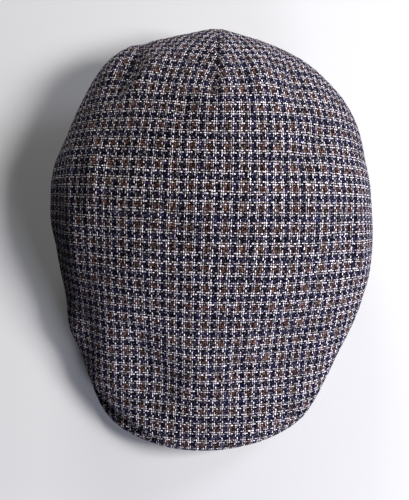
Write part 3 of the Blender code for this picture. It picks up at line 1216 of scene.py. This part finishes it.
    def flat_cloth(self) -> Array:
        """Lays the upper cloth flat, cut open along the dart, as it lay before it was sewn.

        Returns:
            Places on the flat cloth in metres, a row for each quarter step from the edge to the middle, and a
            column for each half step around, from one side of the dart to the other.
        """
        rows = np.linspace(self.edge, self.pole, (self.pole - self.edge) * self.coarse_steps + 1)[:-1]
        count = 2 * self.cage_columns
        columns = self.cage_columns / 2 + np.arange(count) / 2
        points = self.surface(rows, columns)
        middle = self.surface(np.array([float(self.pole)]), columns).mean(axis=1)
        vertices = np.concatenate((points.reshape(-1, 3), middle))
        quads = grid_faces(len(rows), count, closed=True)
        fan = fan_faces((len(rows) - 1) * count, count, len(vertices) - 1)
        cut = {(i * count, (i + 1) * count) for i, row in enumerate(rows[1:]) if row <= self.dart_tip_row}
        places = self.unwrapped(vertices, quads.tolist() + fan.tolist(), cut)
        corners = places[: quads.size].reshape(len(rows) - 1, count, 4, 2)
        top = places[quads.size :].reshape(count, 3, 2)
        flat = np.zeros((len(rows) + 1, count + 1, 2))
        flat[:-2, :-1] = corners[:, :, 0]
        flat[:-2, -1] = corners[:, -1, 1]
        flat[-2, :-1] = top[:, 0]
        flat[-2, -1] = top[-1, 1]
        flat[-1] = top[0, 2]
        return self.squared_up(flat, vertices[quads])

    def unwrapped(self, vertices: Array, faces: list, cut: set[tuple[int, int]]) -> Array:
        """Lays a mesh flat with as little stretching as can be.

        Args:
            vertices: Its points.
            faces: Point numbers of each face.
            cut: Point numbers of the edges that are cut open, the smaller first.

        Returns:
            A flat place for every corner of every face.
        """
        data = bpy.data.meshes.new("flat_cloth")
        data.from_pydata(vertices.tolist(), [], faces)
        pattern = linked("flat_cloth", data)
        for edge in data.edges:
            edge.use_seam = tuple(sorted(edge.vertices)) in cut
        for other in bpy.context.selected_objects:
            other.select_set(False)
        bpy.context.view_layer.objects.active = pattern
        pattern.select_set(True)
        bpy.ops.object.mode_set(mode="EDIT")
        bpy.ops.mesh.select_all(action="SELECT")
        bpy.ops.uv.unwrap(
            method="MINIMUM_STRETCH", fill_holes=False, correct_aspect=False, iterations=self.unwrap_rounds
        )
        bpy.ops.object.mode_set(mode="OBJECT")
        places = np.zeros(len(data.loops) * 2, np.float32)
        data.uv_layers.active.data.foreach_get("uv", places)
        bpy.data.objects.remove(pattern)
        bpy.data.meshes.remove(data)
        return places.reshape(-1, 2).astype(float)

    def squared_up(self, flat: Array, quads: Array) -> Array:
        """Scales flat cloth to its real size, and turns its warp along the centre line.

        Args:
            flat: Grid of places on the flat cloth.
            quads: Corner points of the same quads on the cap.

        Returns:
            The grid in metres, with the middle at the origin and the back upwards.
        """

        def area(corners: Array) -> float:
            """Area of all the quads, from their diagonals."""
            cross = np.cross(corners[:, 2] - corners[:, 0], corners[:, 3] - corners[:, 1])
            return np.abs(cross).sum() if cross.ndim == 1 else np.linalg.norm(cross, axis=1).sum()

        flat_quads = grid_corners(flat[:-1]).reshape(-1, 4, 2)
        flat = (flat - flat[-1, 0]) * np.sqrt(area(quads) / area(flat_quads))
        near_middle = -1 - 2 * self.coarse_steps
        ring = flat[near_middle]
        back = unit((ring[0] + ring[-1]) / 2 - ring[self.cage_columns])
        turned = np.stack((flat @ (back[1], -back[0]), flat @ back), axis=-1)
        right = turned[near_middle, self.cage_columns + self.cage_columns // 2, 0]
        turned[..., 0] *= np.sign(-right)
        return turned

    def weave_places(self, rows: Array, columns: Array, points: Array) -> Array:
        """Places of the crown's outer side on the flat cloth, which goes on outwards under the edge.

        Args:
            rows: Places across the rings.
            columns: Places around, from the dart at 0.
            points: The outer side's points, without the last column that repeats the first.

        Returns:
            A place for each point, and for the last column again.
        """
        at_edge = int(np.searchsorted(rows, self.edge))
        flat_rows = (rows[at_edge:] - self.edge) * self.coarse_steps
        upper = sample(self.flat_cloth(), flat_rows, columns * 2, Spline.THROUGH, closed=False)
        outwards = sideways(upper[0])
        outwards *= np.sign((outwards * upper[0]).sum(axis=1).mean())
        around = np.concatenate((points, points[:, :1]), axis=1)
        steps = np.linalg.norm(np.diff(around[: at_edge + 1], axis=0), axis=-1)
        reach = np.cumsum(steps[::-1], axis=0)[::-1]
        under = upper[0] + reach[..., None] * outwards
        return np.concatenate((under, upper))

    def build(self) -> Piece:
        """Builds the crown as one closed cloth wall with a rounded rim.

        Returns:
            The crown.
        """
        steps = [np.linspace(i, i + 1, count, endpoint=False) for i, count in enumerate(self.row_steps)]
        rows = np.concatenate(steps)
        columns = self.fine_columns()
        points = self.surface(rows, columns[:-1] + self.cage_columns / 2)
        top = self.surface(np.array([float(self.pole)]), columns[:-1]).mean(axis=(0, 1))
        places = self.weave_places(rows, columns, points)
        points = self.folded(points, rows)
        normals = outward_normals(points)
        self.outer = points

        half = self.form.cloth / 2
        rounding = []
        for turn in np.radians(self.rim_turns):
            aside = normals[0] * cos(turn) * half
            rounding.append(points[0] - normals[0] * half + aside + (0, 0, half * (1 - sin(turn))))
        outer, inner = points.copy(), points - normals * self.form.cloth
        outer[0, :, 2] += half
        inner[0, :, 2] += half
        profile = np.concatenate((inner[::-1], rounding, outer))
        down = unit(places[0] - places[1])
        hem = places[0] + down * np.array(self.hem_shares)[:, None, None] * half * pi / 2
        weave = np.concatenate((places[::-1], hem, places))
        return self.wall_mesh(profile, weave, (top - (0, 0, self.form.cloth), top))

    def fine_columns(self) -> Array:
        """Places around the crown from the dart back to it, closer beside the dart."""
        steps = np.arange(self.columns + 1) / self.columns
        beside = np.minimum(steps, 1 - steps)
        density = 1 / (1 + self.crowding_at_dart * bell(beside, self.dart_share))
        places = travelled((density[1:] + density[:-1]) / 2)
        return places / places[-1] * self.cage_columns

    def folded(self, points: Array, rows: Array) -> Array:
        """Presses the fine folds and the dart's seam into the cloth.

        Args:
            points: The outer side's points.
            rows: Their places across the rings.

        Returns:
            The points, moved.
        """
        fold_low, fold_high = (self.edge + row for row in self.folds_begin)
        upper = smooth_step(rows, fold_low, fold_high)[:, None]
        groove = self.dart_depth * bell(points[..., 0], self.dart_width)
        aside = np.abs(points[..., 0]) - self.puff_aside
        puff = self.puff_share * self.dart_depth * bell(aside, self.puff_width)
        at_back = smooth_step(points[..., 1], *self.dart_front_end)
        at_back = at_back * (1 - self.dart_eased_share * smooth_step(points[..., 1], *self.dart_eased))
        depth = (self.push(points, self.folds) + self.unevenness(points)) * upper
        depth += (groove - puff) * at_back * smooth_step(rows, *self.dart_begins)[:, None]
        return points - outward_normals(points) * depth[..., None]

    def unevenness(self, points: Array) -> Array:
        """Gentle unevenness of soft cloth, as a depth at each point."""
        depths = []
        for point in points.reshape(-1, 3):
            rises = [noise.noise(Vector(point) * wave.per_metre + Vector(wave.shift)) for wave in self.waves]
            depths.append(sum(wave.depth * rise for wave, rise in zip(self.waves, rises)))
        return np.reshape(depths, points.shape[:-1])

    def wall_mesh(self, profile: Array, weave: Array, tops: tuple[Array, Array]) -> Piece:
        """Makes the crown's mesh from its rows, inside first.

        Args:
            profile: Points, from the inside's top down to the rim and up the outside.
            weave: Places on the flat cloth, with one more column. The middle's place is the origin.
            tops: The inner and outer middle.

        Returns:
            The crown.
        """
        rows, count = profile.shape[:2]
        points = np.concatenate((profile.reshape(-1, 3), tops))
        quads = grid_faces(rows, count, closed=True)
        inner_fan = fan_faces(0, count, len(points) - 2)[:, (1, 0, 2)]
        outer_fan = fan_faces((rows - 1) * count, count, len(points) - 1)
        middle = np.zeros((count, 2))
        corners = grid_corners(weave)
        inner_places = np.stack((weave[0, 1:], weave[0, :-1], middle), axis=1).reshape(-1, 2)
        outer_places = np.stack((weave[-1, :-1], weave[-1, 1:], middle), axis=1).reshape(-1, 2)
        places = np.concatenate((corners, inner_places, outer_places))
        inside = np.zeros(len(places), bool)
        inside[: (rows // 2) * count * 4] = True
        inside[len(corners) : len(corners) + len(inner_places)] = True
        # The outside has the left half of the bake map and the inside the right.
        bake = np.zeros_like(places)
        bake[~inside] = fitted(places[~inside], (0.0, 0.0), (0.5, 1.0))
        bake[inside] = fitted(places[inside], (0.5, 0.0), (1.0, 1.0))
        faces = quads.tolist() + inner_fan.tolist() + outer_fan.tolist()
        return new_mesh_piece("crown_cloth", points, faces, {WEAVE_MAP: places, BAKE_MAP: bake})

    def height_over_rim(self, angles: Array) -> Array:
        """Height of the crown's outer side straight above the rim.

        Args:
            angles: Degrees from the front.

        Returns:
            The height at each angle.
        """
        columns = self.rings(angles)[self.edge :]
        distances = np.linalg.norm(columns[..., :2] - self.form.crown_middle, axis=-1)
        rim = np.linalg.norm(self.form.plan(angles, 0.0) - self.form.crown_middle, axis=-1)
        outwards = zip(rim, distances[::-1].T, columns[::-1, :, 2].T)
        return np.array([np.interp(at, distance, height) for at, distance, height in outwards])


@dataclass
class Peak:
    """Short arched peak in the same cloth, with a rounded edge and the seam where its two sides meet."""

    form: CapForm
    columns: int = 241
    flat_rows: int = 16
    edge_rows: int = 11
    upper_edge_rows: int = 8
    rounding_share: float = 0.45
    seam_turn: float = -35
    seam_width: float = 12
    seam_depth: float = 0.35 * MM
    arc_steps: int = 300

    def build(self) -> Piece:
        """Builds the peak, from its root over the upper side, round the edge and back below.

        Returns:
            The peak.
        """
        form = self.form
        angles = form.peak_tip_angle * np.sin(np.linspace(-1, 1, self.columns) * pi / 2)
        reach = form.peak_reach_at(angles)
        half = form.peak_thickness / 2
        rounding = np.minimum(half, (reach + form.peak_seam) * self.rounding_share)
        inner_end = reach - rounding

        def row(plan_out: Array, out: Array, drop: float) -> Array:
            """Points at a distance out in plan, a drop below the upper side's height at another."""
            return np.column_stack((form.plan(angles, plan_out), form.peak_height(angles, out) - drop))

        steps = np.linspace(0, 1, self.flat_rows, endpoint=False)
        flat = [blend(np.full_like(reach, -form.peak_seam), inner_end, step) for step in steps]
        rows = [row(out, out, 0.0) for out in flat]
        for turn in np.linspace(90, -90, self.edge_rows):
            pinch = self.seam_depth * bell(turn - self.seam_turn, self.seam_width)
            out = inner_end + rounding * cos(radians(turn))
            rows.append(row(np.minimum(out, reach) - pinch, out, half * (1 - sin(radians(turn)))))
        rows += [row(out, out, form.peak_thickness) for out in flat[::-1]]
        return self.mesh(form.pulled(np.array(rows)))

    def mesh(self, points: Array) -> Piece:
        """Makes the peak's mesh from its rows.

        Args:
            points: Rows from the root over the upper side, round the edge and back below.

        Returns:
            The peak.
        """
        rows, count = points.shape[:2]
        quads = grid_faces(rows + 1, count, closed=False) % (rows * count)
        left = np.arange(rows) * count
        right = left[::-1] + count - 1
        places = self.cloth_places(points)
        corners = grid_corners(places)
        split = (self.flat_rows + self.upper_edge_rows - 1) * (count - 1) * 4
        root_places = grid_corners(np.stack((places[-1], places[-1] + (0, self.form.peak_thickness))))
        # Each part of the surface has a box of its own in the bake map, the upper side's lowest.
        upper_top, lower_top, root_top = 0.45, 0.9, 0.95
        parts = (
            (corners[:split], (0, 0), (1, upper_top)),
            (corners[split:], (0, upper_top), (1, lower_top)),
            (root_places, (0, lower_top), (1, root_top)),
            (points[:, 0, 1:], (0, root_top), (0.5, 1)),
            (points[::-1, -1, 1:], (0.5, root_top), (1, 1)),
        )
        maps = {
            WEAVE_MAP: np.concatenate([part[0] for part in parts]),
            BAKE_MAP: np.concatenate([fitted(*part) for part in parts]),
        }
        faces = quads.tolist() + [left.tolist(), right.tolist()]
        piece = new_mesh_piece("peak_cloth", points.reshape(-1, 3), faces, maps)
        mesh = bmesh.new()
        mesh.from_mesh(piece.data)
        bmesh.ops.recalc_face_normals(mesh, faces=mesh.faces)
        mesh.to_mesh(piece.data)
        mesh.free()
        return piece

    def cloth_places(self, points: Array) -> Array:
        """Places on the flat cloth: across the arch by its arc, and fore and aft as it lies.

        Args:
            points: Rows of the peak's points.

        Returns:
            A place for each point.
        """
        form = self.form
        xs = np.linspace(0, form.half_width, self.arc_steps)
        arch = np.maximum(1 - (2 * xs / form.peak_span) ** 2, 0.0) ** form.arch_power * form.peak_lift
        arc = lengths_along(np.column_stack((xs, arch)))
        across = np.interp(np.abs(points[..., 0]), xs, arc) * np.sign(points[..., 0])
        places = np.stack((across, points[..., 1]), axis=-1)
        steps = np.linalg.norm(np.diff(points, axis=0), axis=-1)
        outwards = sideways(places[self.flat_rows - 1])
        for i in range(self.flat_rows, self.flat_rows + self.upper_edge_rows):
            places[i] = places[i - 1] + outwards * steps[i - 1, :, None]
        return places


@dataclass
class Sweatband:
    """Plain band inside the rim, with its rows of stitches.

    Its lower edge lies the peak's thickness below the rim in front and level with the rim behind. It changes
    over between the two angles of tip_blend, counted from the peak's tips. A stitch swells along its length
    as stitch_profile says, in half lengths and radii.
    """

    form: CapForm
    crown: Crown
    height: float = 0.028
    thickness: float = 0.0015
    lift: float = 0.001
    gap: float = 0.0005
    headroom: float = 0.002
    tip_blend: Span = (-4, 5)
    columns: int = 300
    face_rows: int = 8
    round_rows: int = 4
    stitch_pitch: float = 4.6 * MM
    stitch_length: float = 3.3 * MM
    stitch_radius: float = 0.32 * MM
    stitch_rows: tuple[float, ...] = (0.10, 0.93)
    stitch_steps: int = 1440
    stitch_profile: tuple[Span, ...] = (
        (-1.0, 0.0), (-0.9, 0.6), (-0.6, 1.0), (0.0, 1.15), (0.6, 1.0), (0.9, 0.6), (1.0, 0.0)
    )
    stitch_sides: int = 6
    stitch_end: float = 0.15
    stitch_stand: float = 0.12 * MM
    thread_map: Span = (0.3 * MM, 1.0 * MM)

    def ends(self, angles: Array) -> tuple[Array, Array]:
        """Heights of the band's two edges.

        Args:
            angles: Degrees from the front.

        Returns:
            The lower and the upper edge's height at each angle.
        """
        form = self.form
        past_tip = smooth_step(form.turns(angles) - form.peak_tip_angle, *self.tip_blend)
        drop = form.peak_thickness * (1 - past_tip)
        bottom = np.maximum(form.rim_height(angles) - drop, 0.0) + self.lift
        ceiling = self.crown.height_over_rim(angles) - 2 * form.cloth - self.headroom
        return bottom, np.minimum(bottom + self.height, ceiling)

    def inset(self) -> float:
        """Distance of the band's outer face inside the rim's outline."""
        return self.form.cloth + self.gap

    def build(self) -> Piece:
        """Builds the band as a closed strip with rounded edges.

        Returns:
            The band.
        """
        angles = np.arange(self.columns) * 360 / self.columns
        bottom, top = self.ends(angles)
        half = self.thickness / 2
        middle = -self.inset() - half
        shares = np.linspace(0, 1, self.face_rows)
        turns = np.radians(np.linspace(0, 180, self.round_rows + 2)[1:-1])
        rows = []
        for side, end in ((1, top), (-1, bottom)):
            for share in shares[::side]:
                rows.append((middle + side * half, blend(bottom + half, top - half, share)))
            for turn in turns:
                rows.append((middle + side * half * cos(turn), end - side * half * (1 - sin(turn))))
        rows.append(rows[0])
        points = np.array([np.column_stack((self.form.plan(angles, out), height)) for out, height in rows])
        around = np.concatenate((points[0], points[0, :1]))
        places = np.stack(np.meshgrid(lengths_along(around), lengths_along(points[:, 0])), axis=-1)
        quads = grid_faces(len(points), self.columns, closed=True) % points[:-1, :, 0].size
        corners = grid_corners(places)
        bake = corners / corners.max(axis=0) * (1 - 2 * BAKE_MARGIN) + BAKE_MARGIN
        maps = {WEAVE_MAP: corners, BAKE_MAP: bake}
        return new_mesh_piece("band_cloth", points[:-1].reshape(-1, 3), quads.tolist(), maps)

    def stitches(self) -> Piece:
        """Builds the stitches along both edges of the band, on its inner face, as one joined mesh.

        Returns:
            The stitches.
        """
        angles = np.linspace(0, 360, self.stitch_steps + 1)
        bottom, top = self.ends(angles)
        plan = self.form.plan(angles, -self.inset() - self.thickness)
        lines = [np.column_stack((plan, blend(bottom, top, share))) for share in self.stitch_rows]
        points = np.concatenate([self.stitched(line) for line in lines])
        count, rings, sides = points.shape[:3]
        grid = np.stack(np.meshgrid(np.arange(sides + 1), np.arange(rings)), axis=-1) * self.thread_map
        places = np.concatenate((np.tile(grid_corners(grid), (count, 1)), np.zeros((count * 2 * sides, 2))))
        return new_tubes("band_stitches", points, {WEAVE_MAP: places})

    def stitched(self, line: Array) -> Array:
        """Points of the stitches along a line.

        Args:
            line: Points of the line, close together.

        Returns:
            Points by stitch, by ring and by side.
        """
        lengths = lengths_along(line)
        count = int(lengths[-1] / self.stitch_pitch)
        along, sizes = np.array(self.stitch_profile).T
        middles = (np.arange(count)[:, None] + 0.5) * lengths[-1] / count
        at = middles + along * self.stitch_length / 2

        def on_line(places: Array) -> Array:
            """Points at places along the line."""
            return np.stack([np.interp(places, lengths, line[:, i]) for i in range(3)], axis=-1)

        centres = on_line(at)
        a_little = 0.1 * MM
        inwards = unit(np.cross(on_line(at + a_little) - centres, (0, 0, 1)))
        to_middle = (0, self.form.head_middle_y) - centres[..., :2]
        inwards *= np.sign((inwards[..., :2] * to_middle).sum(axis=-1, keepdims=True))
        swings = np.arange(self.stitch_sides) * 2 * pi / self.stitch_sides
        radii = self.stitch_radius * np.maximum(sizes, self.stitch_end)
        aside = radii[:, None] * np.cos(swings) + self.stitch_stand * sizes[:, None]
        rise = radii[:, None] * np.sin(swings)
        return centres[:, :, None] + inwards[:, :, None] * aside[..., None] + rise[..., None] * (0, 0, 1)


@dataclass(frozen=True)
class LooseWool:
    """Stray wool fibre, pale on some fibres and dark on others. The map's rows number the fibres."""

    name: str = "loose_wool"
    pale: Colour = (0.50, 0.46, 0.48, 1)
    dark: Colour = (0.030, 0.024, 0.034, 1)
    pale_share: float = 0.6
    fibre_scale: float = 9000.0
    fibre_tones: Span = (0.5, 0.75)
    roughness: float = 0.7

    def material(self) -> bpy.types.Material:
        """Builds the fibre's material.

        Returns:
            The material.
        """
        material, graph, shader = new_material(self.name)
        place = graph.cloth_place()
        fibres = graph.group(fibre_group(), Place=place, Along_Y=0.0, Scale=self.fibre_scale)
        y = graph.node("ShaderNodeSeparateXYZ", place).outputs[1]
        row = graph.math("FLOOR", graph.math("DIVIDE", y, MM))
        chance = graph.fill(graph.node("ShaderNodeTexWhiteNoise", noise_dimensions="1D"), W=row)
        is_dark = graph.math("GREATER_THAN", chance.outputs["Value"], self.pale_share)
        colour = graph.mix(is_dark, self.pale, self.dark, colour=True)
        tone = graph.scaled(fibres["Tone"], *self.fibre_tones)
        graph.fill(shader, Base_Color=graph.tint(colour, tone), Roughness=self.roughness)
        return material


@dataclass(frozen=True)
class StrayFibres:
    """Short fibres that stand a little off the crown's cloth, as one joined mesh.

    Each is a thin tube. It curls sideways by up to curl of its length and rises by some share of rise, so
    that its far end stands free.
    """

    crown: Crown
    count: int = 3000
    shortest: float = 1.0 * MM
    longest: float = 3.4 * MM
    curl: float = 0.35
    rise: float = 0.75 * MM
    rise_shares: Span = (0.3, 1.0)
    rise_turn: float = 0.75 * pi
    sunk: float = 0.05 * MM
    radius: float = 0.042 * MM
    taper: float = 0.6
    rings_under_edge: int = 2
    segments: int = 4
    sides: int = 3
    seed: int = 11
    map_step: float = 0.2 * MM

    def build(self) -> Piece:
        """Builds the fibres.

        Returns:
            The fibres.
        """
        random = np.random.default_rng(self.seed)
        roots, up = self.rooted(random)
        ahead = unit(np.cross(up, random.normal(size=(self.count, 3))))
        aside = np.cross(up, ahead)
        lengths = random.uniform(self.shortest, self.longest, self.count)
        curls = random.uniform(-self.curl, self.curl, self.count) * lengths
        rises = random.uniform(*self.rise_shares, self.count) * self.rise
        steps = np.linspace(0, 1, self.segments + 1)[:, None]
        centres = roots[:, None] - up[:, None] * self.sunk
        for way, sizes, shape in (
            (ahead, lengths, steps),
            (aside, curls, np.sin(pi * steps)),
            (up, rises, np.sin(self.rise_turn * steps)),
        ):
            centres = centres + way[:, None] * sizes[:, None, None] * shape
        swings = np.arange(self.sides)[:, None] * 2 * pi / self.sides
        rings = up[:, None] * np.cos(swings) - aside[:, None] * np.sin(swings)
        radii = self.radius * (1 - self.taper * steps)
        points = centres[:, :, None] + rings[:, None] * radii[..., None]
        return new_tubes("stray_fibres", points, {WEAVE_MAP: self.places(), BAKE_MAP: self.bake_places()})

    def rooted(self, random: np.random.Generator) -> tuple[Array, Array]:
        """Chooses where the fibres grow, evenly over the cloth from a little under the edge upwards.

        Args:
            random: Source of the random draws.

        Returns:
            A point of the crown's outer side and its normal for each fibre.
        """
        outer = self.crown.outer
        first = int(np.sum(self.crown.row_steps[: self.crown.edge - self.rings_under_edge]))
        along = np.roll(outer, -1, axis=1) - outer
        areas = np.linalg.norm(np.cross(along, np.gradient(outer, axis=0)), axis=-1)[first:]
        chosen = random.choice(areas.size, self.count, p=areas.ravel() / areas.sum())
        rows, columns = chosen // areas.shape[1] + first, chosen % areas.shape[1]
        return outer[rows, columns], outward_normals(outer)[rows, columns]

    def places(self) -> Array:
        """Gives each fibre a row of its own on the weave map.

        Returns:
            A place for each corner of the long faces, then of the end faces.
        """
        grid = np.stack(np.meshgrid(np.arange(self.sides + 1), np.arange(self.segments + 1)), axis=-1)
        numbers = np.stack((np.zeros(self.count), np.arange(self.count) * MM), axis=-1)
        corners = (grid_corners(grid * self.map_step) + numbers[:, None]).reshape(-1, 2)
        return np.concatenate((corners, np.repeat(numbers, 2 * self.sides, axis=0)))

    def bake_places(self) -> Array:
        """Gives each fibre a cell of its own in the unit square, its long faces below and its ends above.

        Returns:
            A place for each corner of the long faces, then of the end faces.
        """
        per_side = int(np.ceil(np.sqrt(self.count)))
        cells = np.stack(np.divmod(np.arange(self.count), per_side), axis=-1)
        cell_wide, cell_high = (0.1, 0.9), (0.1, 0.7)
        end_size, end_middles = 0.07, ((0.25, 0.85), (0.75, 0.85))
        wide, high = np.linspace(*cell_wide, self.sides + 1), np.linspace(*cell_high, self.segments + 1)
        long_faces = grid_corners(np.stack(np.meshgrid(wide, high), axis=-1))
        turns = np.arange(self.sides) * 2 * pi / self.sides
        end_face = np.stack((np.cos(turns), np.sin(turns)), axis=-1) * end_size
        end_faces = np.concatenate([end_face + middle for middle in end_middles])
        parts = [(cells[:, None] + part).reshape(-1, 2) for part in (long_faces, end_faces)]
        return np.concatenate(parts) / per_side


class Softbox(NamedTuple):
    """A square soft light. Its turn from +X and its lift above the floor are in degrees."""

    name: str
    turn: float
    lift: float
    distance: float
    size: float
    power: float
    colour: tuple[float, float, float] = (1.0, 1.0, 1.0)


@dataclass(frozen=True)
class Studio:
    """Pale floor, soft light from the right and a camera almost straight above.

    The floor throws only a share of its light back at the cap, as the photograph's ground threw little.
    """

    distance: float = 0.65
    elevation: float = 85.0
    roll: float = 1.8
    aim: tuple[float, float, float] = (-0.0038, -0.0070, 0.030)
    frame_height: float = 0.3182
    nearest: float = 0.05
    floor_size: float = 1.6
    floor_grey: float = 0.64
    thrown_back: float = 0.35
    paper_grain: float = 900.0
    paper_roughness: Span = (0.1, 0.75)
    fill: float = 0.006
    backdrop: float = 0.85
    lit_height: float = 0.04
    softboxes: tuple[Softbox, ...] = (
        Softbox("key", 2, 46, 1.5, 0.5, 29.0, (1.01, 0.99, 0.99)),
        Softbox("front_right", -60, 13, 1.5, 0.4, 18.5, (0.92, 0.95, 1.14)),
        Softbox("back_right", 32, 14, 1.5, 0.4, 11.5, (0.92, 0.95, 1.14)),
        Softbox("back", 98, 15, 1.5, 0.4, 12.8),
    )

    def camera(self) -> None:
        """Sets the scene's camera."""
        data = bpy.data.cameras.new("camera")
        data.lens = data.sensor_width * self.distance / self.frame_height
        data.clip_start = self.nearest
        lift = radians(self.elevation)
        place = Vector(self.aim) + self.distance * Vector((0, -cos(lift), sin(lift)))
        tilt = Matrix.Rotation(radians(90 - self.elevation), 4, "X")
        camera = linked("camera", data)
        camera.matrix_world = Matrix.Translation(place) @ tilt @ Matrix.Rotation(radians(self.roll), 4, "Z")
        bpy.context.scene.camera = camera

    def light(self, softbox: Softbox) -> None:
        """Adds a square soft light that looks at the cap."""
        data = bpy.data.lights.new(softbox.name, "AREA")
        data.size = softbox.size
        data.energy = softbox.power
        data.color = softbox.colour
        turn, lift = radians(softbox.turn), radians(softbox.lift)
        direction = Vector((cos(turn) * cos(lift), sin(turn) * cos(lift), sin(lift)))
        light = linked(softbox.name, data)
        light.rotation_euler = direction.to_track_quat("Z", "Y").to_euler()
        light.location = Vector((0, 0, self.lit_height)) + direction * softbox.distance

    def floor(self) -> None:
        """Lays the pale floor."""
        half = self.floor_size / 2
        data = bpy.data.meshes.new("floor")
        corners = [(-half, -half, 0), (half, -half, 0), (half, half, 0), (-half, half, 0)]
        data.from_pydata(corners, [], [(0, 1, 2, 3)])
        material, graph, shader = new_material("pale_paper")
        position = graph.node("ShaderNodeNewGeometry").outputs["Position"]
        grain = graph.noise(position, self.paper_grain, flat=False).outputs["Fac"]
        on_the_cap = graph.node("ShaderNodeLightPath").outputs["Is Diffuse Ray"]
        pale = graph.mix(on_the_cap, self.floor_grey, self.floor_grey * self.thrown_back)
        graph.fill(shader, Base_Color=pale, Roughness=graph.scaled(grain, *self.paper_roughness))
        data.materials.append(material)
        linked("floor", data)

    def sky(self) -> None:
        """Lights the scene a little from all around, behind a backdrop as pale as the floor."""
        world = bpy.data.worlds.new("studio")
        world.use_nodes = True
        graph = Graph(world.node_tree)
        background = world.node_tree.nodes["Background"]
        background.inputs["Color"].default_value = (1, 1, 1, 1)
        seen = graph.node("ShaderNodeLightPath").outputs["Is Camera Ray"]
        graph.feed(background.inputs["Strength"], graph.mix(seen, self.fill, self.backdrop))
        bpy.context.scene.world = world

    def set_up(self) -> None:
        """Sets the camera, the floor and the lights."""
        self.camera()
        self.floor()
        self.sky()
        for softbox in self.softboxes:
            self.light(softbox)
        bpy.context.scene.view_settings.view_transform = "Standard"


def main() -> None:
    """Builds, dresses and reports the cap's pieces."""
    logging.basicConfig(level=logging.INFO, format="%(message)s")
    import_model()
    Studio().set_up()

    form = CapForm()
    crown = Crown(form)
    band = Sweatband(form, crown)
    check = CheckCloth().material()
    twill = BandTwill().material()
    thread = Thread().material()
    wool = LooseWool().material()
    made = (
        (crown.build(), "crown", "check_cloth", check),
        (Peak(form).build(), "peak", "check_cloth", check),
        (band.build(), "sweatband", "band_cloth", twill),
        (band.stitches(), None, "band_cloth", thread),
        (StrayFibres(crown).build(), None, "check_cloth", wool),
    )
    for piece, node, slot, material in made:
        piece.data.materials.append(material)
        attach(piece, "root")
        if node:
            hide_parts(node)
        LOG.info("%s: %d faces", piece.name, len(piece.data.polygons))


if __name__ == "__main__":
    main()
